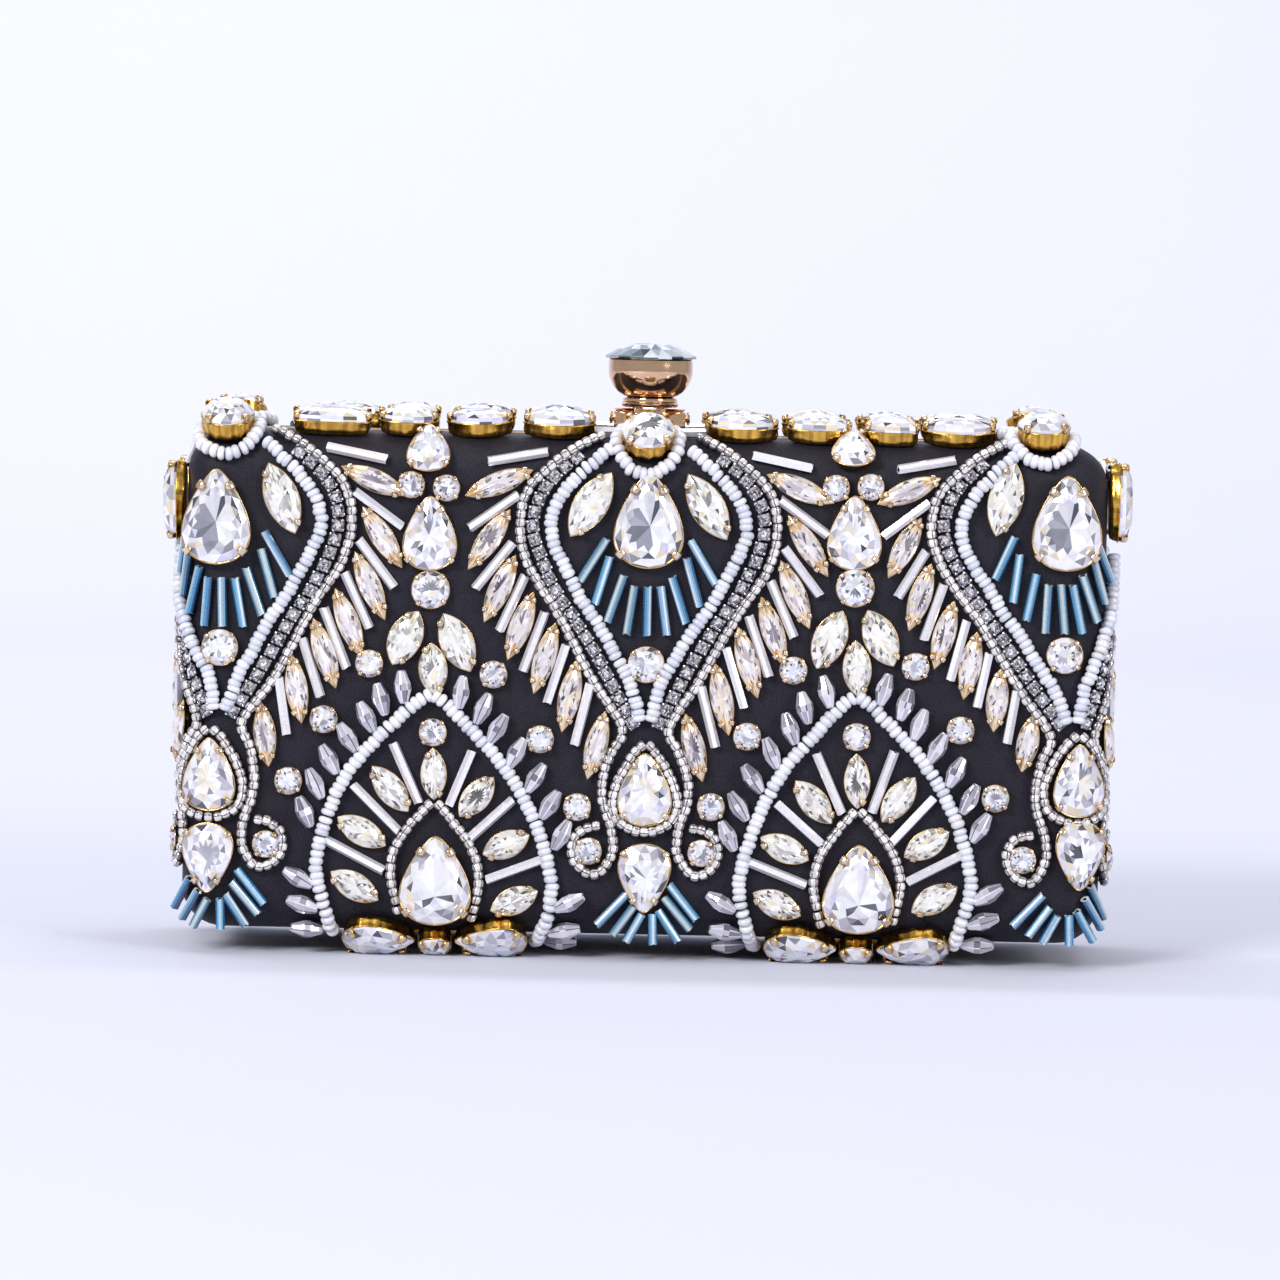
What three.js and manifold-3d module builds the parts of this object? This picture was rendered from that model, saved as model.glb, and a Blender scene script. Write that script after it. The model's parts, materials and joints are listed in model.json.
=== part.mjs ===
// Hard box clutch: two half trays in gold frames, hinged at the bottom, with a jewelled clasp on top.
// Millimetres. X is the width, the front faces -Y, and Z is up from the table that the bag stands on.
import * as THREE from "three";
import { mergeVertices } from "three/addons/utils/BufferGeometryUtils.js";
import Module from "manifold-3d";

const wasm = await Module();
wasm.setup();

// Driving dimensions of the body.
const BODY_WIDTH = 199;
const BODY_BOTTOM = 5;
const BODY_TOP = 113;
const BODY_DEPTH = 50;
const CORNER_RADIUS = 9;
const EDGE_RADIUS = 8;
const CORNER_STEPS = 5;
const EDGE_STEPS = 5;

// Layers of a half body, as distances in from its outer surface.
const SATIN = [0, 0.5];
const SHELL = [0.65, 1.85];
const LINING = [3.2, 4.0];
const LINING_FACE = 2.85;
const RIM_Y = 2.1;
const LINING_RIM_Y = 0.6;

// Gold frame: a flange on the parting face and a lip that goes inside the shell.
const FRAME_GAP = 0.15;
const FRAME_PROUD = 0.2;
const FLANGE_Y = 1.9;
const FLANGE_IN = 2.9;
const LIP = [2.0, 2.9];
const LIP_Y = 4.2;

// Bottom hinges.
const HINGE_X = 45;
const HINGE_LENGTH = 24;
const HINGE_Z = BODY_BOTTOM - 2.15;
const KNUCKLE_RADIUS = 1.7;
const KNUCKLE_BORE = 1.05;
const KNUCKLE_GAP = 0.3;
const MIDDLE_KNUCKLE = 9;
const LEAF_Y = [2.0, 3.2];
const LEAF_Z = [HINGE_Z - 1.1, HINGE_Z + 1.75];
const LEAF_WEB = 0.9;
const HINGE_PIN_RADIUS = 0.8;
const HINGE_PIN_HEAD = 1.5;
const HINGE_PIN_REACH = [0.3, 1];

// Clasp, from its pivot upwards.
const PIVOT_Z = BODY_TOP + 3.8;
const EAR_X = [3.4, 7.8];
const EAR_RADIUS = 2.1;
const EAR_BORE = 1.05;
const BASE_Z = [BODY_TOP + 0.45, BODY_TOP + 1.25];
const HUB_RADIUS = 1.8;
const CHEEK_X = [1.4, 3.1];
const NECK_RADIUS = 6;
const NECK_Z = [PIVOT_Z + 2.4, PIVOT_Z + 4.3];
const CLASP_PIN_RADIUS = 0.8;
const CLASP_PIN_HEAD = 1.4;
const CLASP_PIN_REACH = [0.3, 1];
const CHEEK_HALF_DEPTH = 1.5;
const ARM_Z = [BODY_TOP + 2.6, BODY_TOP + 3.8];
const ARM_ROOT_Y = -2.4;
const TOOTH_Y = [-7.3, -6.3];
const TOOTH_BOTTOM = BODY_TOP + 2.2;
const CATCH_Y = [-8.4, -2.5];
const CATCH_Z = [BODY_TOP + 0.2, BODY_TOP + 1.0];
const CATCH_LIP_Y = [-6.0, -5.0];
const CATCH_LIP_TOP = BODY_TOP + 1.9;
const CUP_RADIUS = 9.2;
const CUP_Z = [NECK_Z[1] + 0.2, NECK_Z[1] + 8.4];
const CRYSTAL_RADIUS = 10.1;
const CRYSTAL_TOP = CUP_Z[1] + 3.4;
const SPRING_TURNS = 3;
const SPRING_WIRE = 0.22;
const SPRING_RADIUS = 1.4;

// Rivets of the clasp base and the catch plate.
const RIVET_X = 5.7;
const BACK_RIVET_Y = 6.2;
const FRONT_RIVET_Y = -5.8;
const RIVET_SHANK = 0.65;
const RIVET_HOLE = 0.95;
const RIVET_HEAD = 1.3;
const PLATE_MARGIN = 2;

// Slip pocket for cards on the back lining.
const POCKET = { halfWidth: 48, bottom: 18, top: 72, corner: 8, thickness: 0.7, gap: 0.3 };

// Stones: how far a setting stands off the satin, and its height below and above the girdle.
const STONE_GAP = 0.3;
const CUP_HEIGHT = 2.2;
const CROWN_HEIGHT = 1.8;
const STONE_POINTS = 12;
const PEAR_GIRTH = 0.912;
const FOOT_CUP_HEIGHT = 3;
const FOOT_CROWN_HEIGHT = 2.4;
const FOOT_PITCH = 12.2;

// Places of the motifs across the face. The beadwork is sewn by hand, so the sides differ a little.
const ARCH_X = { left: -44.2, right: 47.1 };
const TEARDROP_X = { left: -92.4, centre: 0.3, right: 90.2 };
const CROWN_X = { left: -90.9, centre: -0.3, right: 85.1 };
const TEARDROP_PEAR = { width: 14.9, height: 20.2 };
const TEARDROP_PEAR_Z = { left: 94.4, centre: 95.4, right: 96.7 };
const ARCH_PEAR = { width: 15.3, height: 19, z: 16.8 };
const CROWN_STONE = { diameter: 11.4, cup: 4, crown: 3 };
const CROWN_LEAN = { left: 1.15, centre: 0.88, right: 1.3 };
const CROWN_RISE = { left: 0.2, centre: 0.2, right: 0.5 };
const FOOT_PEAR = { width: 12.6, height: 15.6, lean: 1.0, standOff: 0.3 };
const FOOT_OVAL = { width: 7.6, height: 9, lean: 1.2, standOff: 0.3 };
const SIDE_STONE = { width: 7, height: 17, cup: 2, crown: 3, y: -16.9 };
const SIDE_STONE_Z = { left: 97.5, right: 101 };

const group = new THREE.Group();

function material(color, roughness, metalness) {
  return new THREE.MeshStandardMaterial({ color, roughness, metalness });
}

const finishes = {
  satin: () => material(0x26242e, 0.45, 0),
  shell: () => material(0x1c1b20, 0.6, 0),
  lining: () => material(0x2b2834, 0.8, 0),
  gold: () => material(0xd9b98c, 0.25, 1),
  steel: () => material(0xb8b8bc, 0.3, 1),
  crystal: () => material(0xe6e8ee, 0.05, 0.1),
};

function addPart(name, geometry, finish) {
  const mesh = new THREE.Mesh(geometry, finishes[finish]());
  mesh.name = name;
  group.add(mesh);
  return mesh;
}

// Closed surfaces from rings of points.
function signedVolume(points, triangles) {
  const cross = new THREE.Vector3();
  let sum = 0;
  for (let i = 0; i < triangles.length; i += 3) {
    const [a, b, c] = [0, 1, 2].map((k) => points[triangles[i + k]]);
    sum += a.dot(cross.crossVectors(b, c));
  }
  return sum / 6;
}

function geometryOf(points, triangles) {
  const faces = triangles.slice();
  if (signedVolume(points, faces) < 0) {
    faces.reverse();
  }
  const geometry = new THREE.BufferGeometry().setFromPoints(points);
  geometry.setIndex(faces);
  return geometry;
}

// Joins rings of equal length by side faces. It caps both ends, or joins the last ring to the first.
function loft(rings, closed = false) {
  const count = rings[0].length;
  const points = rings.flat();
  const triangles = [];
  const spans = closed ? rings.length : rings.length - 1;
  for (let r = 0; r < spans; r++) {
    const low = r * count;
    const high = ((r + 1) % rings.length) * count;
    for (let i = 0; i < count; i++) {
      const j = (i + 1) % count;
      triangles.push(low + i, low + j, high + j, low + i, high + j, high + i);
    }
  }
  if (!closed) {
    const last = (rings.length - 1) * count;
    for (let i = 1; i < count - 1; i++) {
      triangles.push(0, i + 1, i, last, last + i, last + i + 1);
    }
  }
  return geometryOf(points, triangles);
}

function toManifold(geometry) {
  const plain = geometry.clone();
  plain.deleteAttribute("normal");
  plain.deleteAttribute("uv");
  const merged = mergeVertices(plain, 1e-4);
  const mesh = new wasm.Mesh({
    numProp: 3,
    vertProperties: new Float32Array(merged.attributes.position.array),
    triVerts: new Uint32Array(merged.index.array),
  });
  return new wasm.Manifold(mesh);
}

function fromManifold(solid) {
  const mesh = solid.getMesh();
  const geometry = new THREE.BufferGeometry();
  geometry.setAttribute("position", new THREE.BufferAttribute(mesh.vertProperties, mesh.numProp));
  geometry.setIndex(new THREE.BufferAttribute(mesh.triVerts, 1));
  return geometry;
}

function joined(geometries) {
  const solids = geometries.map(toManifold);
  return fromManifold(solids.reduce((whole, next) => whole.add(next)));
}

function cut(geometry, tools) {
  const solids = tools.map(toManifold);
  return fromManifold(solids.reduce((whole, next) => whole.subtract(next), toManifold(geometry)));
}

function box(x, y, z) {
  const geometry = new THREE.BoxGeometry(x[1] - x[0], y[1] - y[0], z[1] - z[0]);
  return geometry.translate((x[0] + x[1]) / 2, (y[0] + y[1]) / 2, (z[0] + z[1]) / 2);
}

function cylinderX(radius, x, y, z, sides = 14) {
  const geometry = new THREE.CylinderGeometry(radius, radius, x[1] - x[0], sides);
  return geometry.rotateZ(Math.PI / 2).translate((x[0] + x[1]) / 2, y, z);
}

function cylinderZ(radius, x, y, z, sides = 10) {
  const geometry = new THREE.CylinderGeometry(radius, radius, z[1] - z[0], sides);
  return geometry.rotateX(Math.PI / 2).translate(x, y, (z[0] + z[1]) / 2);
}

function latheZ(profile, sides) {
  const points = profile.map(([radius, z]) => new THREE.Vector2(radius, z));
  return new THREE.LatheGeometry(points, sides).rotateX(Math.PI / 2);
}

// The outline of the body, seen from the front, moved in by a distance, at one depth.
function outlineRing(inset, y) {
  const radius = CORNER_RADIUS - inset;
  const halfWidth = BODY_WIDTH / 2 - inset;
  const top = BODY_TOP - inset;
  const bottom = BODY_BOTTOM + inset;
  const centres = [
    [halfWidth - radius, top - radius],
    [-halfWidth + radius, top - radius],
    [-halfWidth + radius, bottom + radius],
    [halfWidth - radius, bottom + radius],
  ];
  const ring = [];
  centres.forEach(([x, z], corner) => {
    for (let i = 0; i <= CORNER_STEPS; i++) {
      const angle = (corner + i / CORNER_STEPS) * (Math.PI / 2);
      ring.push(new THREE.Vector3(x + radius * Math.cos(angle), y, z + radius * Math.sin(angle)));
    }
  });
  return ring;
}

// Rings of one surface of a tray, from its rim to its face. side is -1 at the front and 1 at the back.
function trayRings(side, inset, faceInset, rimY) {
  const radius = EDGE_RADIUS - faceInset;
  const faceY = BODY_DEPTH / 2 - faceInset;
  const rings = [outlineRing(inset, side * rimY)];
  for (let i = 0; i <= EDGE_STEPS; i++) {
    const angle = (i / EDGE_STEPS) * (Math.PI / 2);
    const depth = faceY - radius + radius * Math.sin(angle);
    rings.push(outlineRing(inset + radius * (1 - Math.cos(angle)), side * depth));
  }
  return rings;
}

function tray(side, [outer, inner], rimY, faceOuter = outer) {
  const thickness = inner - outer;
  const outside = trayRings(side, outer, faceOuter, rimY);
  const inside = trayRings(side, inner, faceOuter + thickness, rimY);
  return loft([...outside.reverse(), ...inside]);
}

// The frame's L section, swept round the outline.
function frameRing(side) {
  const section = [
    [-FRAME_PROUD, FRAME_GAP],
    [-FRAME_PROUD, FLANGE_Y],
    [LIP[0], FLANGE_Y],
    [LIP[0], LIP_Y],
    [LIP[1], LIP_Y],
    [FLANGE_IN, FRAME_GAP],
  ];
  return loft(section.map(([inset, y]) => outlineRing(inset, side * y)), true);
}

function rivetHoles(y) {
  const reach = [BODY_TOP - SHELL[1] - 2, BODY_TOP + 3];
  return [-RIVET_X, RIVET_X].map((x) => cylinderZ(RIVET_HOLE, x, y, reach));
}

function buildHalf(name, side, rivetY) {
  addPart(`${name}_shell`, cut(tray(side, SHELL, RIM_Y), rivetHoles(rivetY)), "shell");
  addPart(`${name}_satin`, cut(tray(side, SATIN, RIM_Y), rivetHoles(rivetY)), "satin");
  addPart(`${name}_frame`, frameRing(side), "gold");
  addPart(`${name}_lining`, tray(side, LINING, LINING_RIM_Y, LINING_FACE), "lining");
}

// The pocket panel is open at its top.
function buildPocket() {
  const { halfWidth, bottom, top, corner, thickness, gap } = POCKET;
  const shape = new THREE.Shape();
  shape.moveTo(-halfWidth, top);
  shape.lineTo(-halfWidth, bottom + corner);
  shape.absarc(-halfWidth + corner, bottom + corner, corner, Math.PI, 1.5 * Math.PI, false);
  shape.absarc(halfWidth - corner, bottom + corner, corner, 1.5 * Math.PI, 2 * Math.PI, false);
  shape.lineTo(halfWidth, top);
  const geometry = new THREE.ExtrudeGeometry(shape, {
    depth: thickness,
    bevelEnabled: false,
    curveSegments: CORNER_STEPS,
  });
  const liningInner = BODY_DEPTH / 2 - LINING_FACE - (LINING[1] - LINING[0]);
  geometry.rotateX(Math.PI / 2).translate(0, liningInner - gap, 0);
  addPart("card_pocket", geometry, "lining");
}

// Hinges: the front leaf has the two outer knuckles and the back leaf has the middle one.
function knuckle(side, x) {
  const barrel = cylinderX(KNUCKLE_RADIUS, x, 0, HINGE_Z);
  const reach = side < 0 ? [-LEAF_Y[1], 0] : [0, LEAF_Y[1]];
  const web = box(x, reach, [HINGE_Z - LEAF_WEB, HINGE_Z + LEAF_WEB]);
  return [barrel, web];
}

function hingeLeaf(side, x0, spans) {
  const low = x0 - HINGE_LENGTH / 2;
  const y = side < 0 ? [-LEAF_Y[1], -LEAF_Y[0]] : LEAF_Y;
  const strip = box([low, low + HINGE_LENGTH], y, LEAF_Z);
  const knuckles = spans.flatMap((x) => knuckle(side, x));
  const bore = cylinderX(KNUCKLE_BORE, [low - 2, low + HINGE_LENGTH + 2], 0, HINGE_Z, 12);
  return cut(joined([strip, ...knuckles]), [bore]);
}

// A pin along X with a head at each end, which starts and stops at the two reaches past the pinned width.
function headedPin(x0, half, z, radius, headRadius, [start, stop]) {
  const shank = cylinderX(radius, [x0 - half - stop, x0 + half + stop], 0, z, 10);
  const left = cylinderX(headRadius, [x0 - half - stop, x0 - half - start], 0, z, 12);
  const right = cylinderX(headRadius, [x0 + half + start, x0 + half + stop], 0, z, 12);
  return joined([shank, left, right]);
}

function hingePin(x0) {
  const half = HINGE_LENGTH / 2;
  return headedPin(x0, half, HINGE_Z, HINGE_PIN_RADIUS, HINGE_PIN_HEAD, HINGE_PIN_REACH);
}

function buildHinges() {
  for (const [name, x0] of [["left", -HINGE_X], ["right", HINGE_X]]) {
    const half = HINGE_LENGTH / 2;
    const middle = MIDDLE_KNUCKLE / 2;
    const outer = [
      [x0 - half, x0 - middle - KNUCKLE_GAP],
      [x0 + middle + KNUCKLE_GAP, x0 + half],
    ];
    addPart(`hinge_${name}_front_leaf`, hingeLeaf(-1, x0, outer), "gold");
    addPart(`hinge_${name}_back_leaf`, hingeLeaf(1, x0, [[x0 - middle, x0 + middle]]), "gold");
    addPart(`hinge_${name}_pin`, hingePin(x0), "steel");
  }
}

// Clasp: a base with two ears on the back half, a lever between them, and a catch plate on the front half.
function claspEar(end) {
  const x = [end * EAR_X[0], end * EAR_X[1]].sort((a, b) => a - b);
  const post = box(x, [-EAR_RADIUS, EAR_RADIUS], [BASE_Z[0], PIVOT_Z]);
  return [post, cylinderX(EAR_RADIUS, x, 0, PIVOT_Z, 20)];
}

function claspBase() {
  const plate = box([-EAR_X[1], EAR_X[1]], [-EAR_RADIUS, BACK_RIVET_Y + PLATE_MARGIN], BASE_Z);
  const bore = cylinderX(EAR_BORE, [-EAR_X[1] - 1, EAR_X[1] + 1], 0, PIVOT_Z, 12);
  const solid = joined([plate, ...claspEar(-1), ...claspEar(1)]);
  return cut(solid, [bore, ...rivetHoles(BACK_RIVET_Y)]);
}

function claspLever() {
  const neck = latheZ(
    [
      [0, NECK_Z[0]],
      [NECK_RADIUS, NECK_Z[0]],
      [NECK_RADIUS, NECK_Z[0] + 0.6],
      [NECK_RADIUS - 0.5, NECK_Z[0] + 0.8],
      [NECK_RADIUS, NECK_Z[0] + 1],
      [NECK_RADIUS, NECK_Z[1]],
      [0, NECK_Z[1]],
    ],
    20,
  );
  const cheeks = [-1, 1].flatMap((end) => {
    const x = [end * CHEEK_X[0], end * CHEEK_X[1]].sort((a, b) => a - b);
    return [
      cylinderX(HUB_RADIUS, x, 0, PIVOT_Z),
      box(x, [-CHEEK_HALF_DEPTH, CHEEK_HALF_DEPTH], [PIVOT_Z, NECK_Z[0] + 0.3]),
      box(x, [ARM_ROOT_Y - 0.8, 0], ARM_Z),
    ];
  });
  const arm = box([-CHEEK_X[1], CHEEK_X[1]], [TOOTH_Y[0], ARM_ROOT_Y], ARM_Z);
  const tooth = box([-CHEEK_X[1], CHEEK_X[1]], TOOTH_Y, [TOOTH_BOTTOM, ARM_Z[1]]);
  const bore = cylinderX(EAR_BORE, [-EAR_X[1], EAR_X[1]], 0, PIVOT_Z, 12);
  return cut(joined([neck, ...cheeks, arm, tooth]), [bore]);
}

function claspPin() {
  return headedPin(0, EAR_X[1], PIVOT_Z, CLASP_PIN_RADIUS, CLASP_PIN_HEAD, CLASP_PIN_REACH);
}

class Helix extends THREE.Curve {
  getPoint(t, target = new THREE.Vector3()) {
    const angle = t * SPRING_TURNS * 2 * Math.PI;
    const x = (t - 0.5) * 2 * (CHEEK_X[0] - 0.6);
    return target.set(x, SPRING_RADIUS * Math.cos(angle), PIVOT_Z + SPRING_RADIUS * Math.sin(angle));
  }
}

function claspSpring() {
  const section = new THREE.Shape();
  section.absarc(0, 0, SPRING_WIRE, 0, 2 * Math.PI, false);
  return new THREE.ExtrudeGeometry(section, {
    steps: SPRING_TURNS * 10,
    curveSegments: 3,
    bevelEnabled: false,
    extrudePath: new Helix(),
  });
}

function claspCup() {
  const profile = [
    [0, CUP_Z[0]],
    [4.8, CUP_Z[0]],
    [6.8, CUP_Z[0] + 1],
    [8.3, CUP_Z[0] + 2.8],
    [CUP_RADIUS - 0.1, CUP_Z[0] + 5],
    [CUP_RADIUS, CUP_Z[0] + 6.6],
    [CUP_RADIUS, CUP_Z[1]],
    [CUP_RADIUS - 0.6, CUP_Z[1]],
    [CUP_RADIUS - 0.9, CUP_Z[0] + 5.4],
    [6.4, CUP_Z[0] + 2.6],
    [0, CUP_Z[0] + 1.6],
  ];
  return latheZ(profile, 24);
}

// The crystal's girdle overhangs the cup's rim.
function claspCrystal() {
  const rings = [
    [2.0, CUP_Z[0] + 3],
    [7.7, CUP_Z[1] - 1.4],
    [8.1, CUP_Z[1] + 0.3],
    [CRYSTAL_RADIUS - 0.2, CUP_Z[1] + 0.4],
    [CRYSTAL_RADIUS, CUP_Z[1] + 0.9],
    [CRYSTAL_RADIUS - 2.4, CUP_Z[1] + 2.4],
    [CRYSTAL_RADIUS - 5, CRYSTAL_TOP],
  ];
  return loft(rings.map(([radius, z]) => roundRing(radius, z, 16)));
}

function roundRing(radius, z, count) {
  return Array.from({ length: count }, (_, i) => {
    const angle = (i / count) * 2 * Math.PI;
    return new THREE.Vector3(radius * Math.cos(angle), radius * Math.sin(angle), z);
  });
}

function catchPlate() {
  const plate = box([-RIVET_X - PLATE_MARGIN, RIVET_X + PLATE_MARGIN], CATCH_Y, CATCH_Z);
  const lip = box([-CHEEK_X[1] - 0.3, CHEEK_X[1] + 0.3], CATCH_LIP_Y, [CATCH_Z[0], CATCH_LIP_TOP]);
  return cut(joined([plate, lip]), rivetHoles(FRONT_RIVET_Y));
}

function rivet(x, y, plateTop) {
  const inside = BODY_TOP - SHELL[1] - 0.2;
  const shank = cylinderZ(RIVET_SHANK, x, y, [inside - 0.3, plateTop + 0.4], 8);
  const head = cylinderZ(RIVET_HEAD, x, y, [plateTop + 0.15, plateTop + 0.6], 12);
  const foot = cylinderZ(RIVET_HEAD, x, y, [inside - 0.5, inside], 10);
  return joined([shank, head, foot]);
}

function buildClasp() {
  addPart("clasp_base", claspBase(), "gold");
  addPart("clasp_pin", claspPin(), "gold");
  addPart("clasp_lever", claspLever(), "gold");
  addPart("clasp_spring", claspSpring(), "steel");
  addPart("clasp_cup", claspCup(), "gold");
  addPart("clasp_crystal", claspCrystal(), "crystal");
  addPart("catch_plate", catchPlate(), "gold");
  [-RIVET_X, RIVET_X].forEach((x, i) => {
    addPart(`catch_rivet_${i + 1}`, rivet(x, FRONT_RIVET_Y, CATCH_Z[1]), "gold");
    addPart(`clasp_base_rivet_${i + 1}`, rivet(x, BACK_RIVET_Y, BASE_Z[1]), "gold");
  });
}

// Set stones. An outline is a list of [x, z] points round the girdle, seen from outside, tip upwards.
// A pear's half width is sin(angle) times a taper, over the largest value that this product takes.
function pearOutline(width, height) {
  return Array.from({ length: STONE_POINTS }, (_, i) => {
    const angle = (i / STONE_POINTS) * 2 * Math.PI;
    const taper = 1.18 - 0.75 * Math.pow(0.5 + 0.5 * Math.cos(angle), 1.15);
    return [(width / 2 / PEAR_GIRTH) * Math.sin(angle) * taper, (height / 2) * Math.cos(angle)];
  });
}

function navetteOutline(width, height) {
  return Array.from({ length: STONE_POINTS }, (_, i) => {
    const angle = (i / STONE_POINTS) * 2 * Math.PI;
    const bulge = Math.pow(Math.abs(Math.sin(angle)), 1.35);
    return [(width / 2) * Math.sign(Math.sin(angle)) * bulge, (height / 2) * Math.cos(angle)];
  });
}

function ovalOutline(width, height) {
  return Array.from({ length: STONE_POINTS }, (_, i) => {
    const angle = ((i + 0.5) / STONE_POINTS) * 2 * Math.PI;
    return [(width / 2) * Math.sin(angle), (height / 2) * Math.cos(angle)];
  });
}

// The cup and the stone as one solid, its back at y = 0 and its table towards -Y.
function setStone(outline, cup = CUP_HEIGHT, crown = CROWN_HEIGHT) {
  const levels = [
    [0, 0.62],
    [cup, 1],
    [cup + 0.5, 1],
    [cup + crown, 0.6],
  ];
  return loft(
    levels.map(([depth, scale]) => outline.map(([x, z]) => new THREE.Vector3(x * scale, -depth, z * scale))),
  );
}

// Puts a stone on the bag, tilted about X and turned about Z. The back copy is mirrored in Y.
function placeStone(name, side, geometry, { x, y, z, tilt = 0, turn = 0 }) {
  geometry.rotateX(tilt);
  geometry.rotateZ(turn);
  geometry.translate(x, y, z);
  if (side < 0) {
    return addPart(name, geometry, "crystal");
  }
  return addPart(name, mirroredInY(geometry), "crystal");
}

function mirroredInY(geometry) {
  const position = geometry.getAttribute("position");
  const points = [];
  for (let i = 0; i < position.count; i++) {
    points.push(new THREE.Vector3(position.getX(i), -position.getY(i), position.getZ(i)));
  }
  return geometryOf(points, Array.from(geometry.index.array));
}

// Foot stones sit on the rounded bottom edge and are ground flat where they touch the table.
function footStone(outlineOf, { width, height, lean, standOff }, x, spin) {
  const reach = EDGE_RADIUS + standOff;
  const stone = setStone(outlineOf(width, height), FOOT_CUP_HEIGHT, FOOT_CROWN_HEIGHT);
  stone.rotateY(spin);
  stone.rotateX(lean);
  const y = -(BODY_DEPTH / 2 - EDGE_RADIUS) - reach * Math.cos(lean);
  const z = BODY_BOTTOM + EDGE_RADIUS - reach * Math.sin(lean);
  stone.translate(x, y, z);
  const belowTable = box([x - width, x + width], [-BODY_DEPTH, 0], [-width, 0]);
  return cut(stone, [belowTable]);
}

// Two pears with their tips towards an oval, under each arch.
function buildFootStones(side, name) {
  for (const [label, centre] of Object.entries(ARCH_X)) {
    const stones = {
      a: footStone(pearOutline, FOOT_PEAR, centre - FOOT_PITCH, Math.PI / 2),
      b: footStone(ovalOutline, FOOT_OVAL, centre, 0),
      c: footStone(pearOutline, FOOT_PEAR, centre + FOOT_PITCH, -Math.PI / 2),
    };
    for (const [letter, stone] of Object.entries(stones)) {
      addPart(`${name}_foot_stone_${label}_${letter}`, side < 0 ? stone : mirroredInY(stone), "crystal");
    }
  }
}

function buildFaceStones(side, name) {
  const y = -(BODY_DEPTH / 2 + STONE_GAP);
  for (const [label, x] of Object.entries(TEARDROP_X)) {
    const pear = setStone(pearOutline(TEARDROP_PEAR.width, TEARDROP_PEAR.height));
    placeStone(`${name}_teardrop_pear_${label}`, side, pear, { x, y, z: TEARDROP_PEAR_Z[label] });
  }
  for (const [label, x] of Object.entries(ARCH_X)) {
    const pear = setStone(pearOutline(ARCH_PEAR.width, ARCH_PEAR.height));
    placeStone(`${name}_arch_pear_${label}`, side, pear, { x, y, z: ARCH_PEAR.z });
  }
}

// Crown stones sit on the rounded top edge and face up and out.
function buildCrownStones(side, name) {
  const { diameter, cup, crown } = CROWN_STONE;
  for (const [label, x] of Object.entries(CROWN_X)) {
    const lean = CROWN_LEAN[label];
    const reach = EDGE_RADIUS + CROWN_RISE[label];
    placeStone(`${name}_crown_stone_${label}`, side, setStone(ovalOutline(diameter, diameter), cup, crown), {
      x,
      y: -(BODY_DEPTH / 2 - EDGE_RADIUS) - reach * Math.cos(lean),
      z: BODY_TOP - EDGE_RADIUS + reach * Math.sin(lean),
      tilt: -lean,
    });
  }
}

// One navette stands on each end face near the front corner, upright, with its table outwards.
function buildSideStones(side, name) {
  const { width, height, cup, crown, y } = SIDE_STONE;
  for (const [label, sign] of [["left", -1], ["right", 1]]) {
    placeStone(`${name}_side_stone_${label}`, side, setStone(navetteOutline(width, height), cup, crown), {
      x: sign * (BODY_WIDTH / 2 + STONE_GAP),
      y,
      z: SIDE_STONE_Z[label],
      turn: sign * (Math.PI / 2),
    });
  }
}

buildHalf("front", -1, FRONT_RIVET_Y);
buildHalf("back", 1, BACK_RIVET_Y);
buildPocket();
buildHinges();
buildClasp();
for (const [name, side] of [["front", -1], ["back", 1]]) {
  buildFootStones(side, name);
  buildFaceStones(side, name);
  buildCrownStones(side, name);
  buildSideStones(side, name);
}

export default group;
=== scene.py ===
"""Looks of a jewelled box clutch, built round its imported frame. Sizes are in mm until a mesh is made."""

import json
import math
from dataclasses import dataclass

import bmesh
import bpy
import numpy as np
from mathutils import Matrix, Vector, noise

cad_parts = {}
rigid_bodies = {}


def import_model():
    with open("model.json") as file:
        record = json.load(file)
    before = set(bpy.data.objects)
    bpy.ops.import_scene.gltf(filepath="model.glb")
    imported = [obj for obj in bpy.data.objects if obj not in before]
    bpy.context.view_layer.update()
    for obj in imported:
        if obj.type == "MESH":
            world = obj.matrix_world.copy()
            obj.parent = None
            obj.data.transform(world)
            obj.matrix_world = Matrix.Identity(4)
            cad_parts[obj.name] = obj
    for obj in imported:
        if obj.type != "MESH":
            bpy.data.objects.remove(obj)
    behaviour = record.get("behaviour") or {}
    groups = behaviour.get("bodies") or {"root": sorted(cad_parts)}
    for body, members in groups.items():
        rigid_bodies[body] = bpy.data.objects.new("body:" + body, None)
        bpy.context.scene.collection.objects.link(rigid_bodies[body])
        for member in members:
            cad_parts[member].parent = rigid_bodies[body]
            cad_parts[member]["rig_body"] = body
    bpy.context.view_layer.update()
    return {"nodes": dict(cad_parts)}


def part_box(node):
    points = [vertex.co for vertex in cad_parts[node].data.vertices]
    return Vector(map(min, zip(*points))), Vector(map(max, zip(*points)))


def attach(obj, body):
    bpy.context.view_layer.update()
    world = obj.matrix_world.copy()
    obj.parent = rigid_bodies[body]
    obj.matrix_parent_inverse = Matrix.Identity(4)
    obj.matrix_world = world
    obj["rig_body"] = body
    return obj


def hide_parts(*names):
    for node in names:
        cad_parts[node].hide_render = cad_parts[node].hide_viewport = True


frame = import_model()

MM = 0.001


def box_mm(node):
    low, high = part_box(node)
    return np.array(low) / MM, np.array(high) / MM


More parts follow.
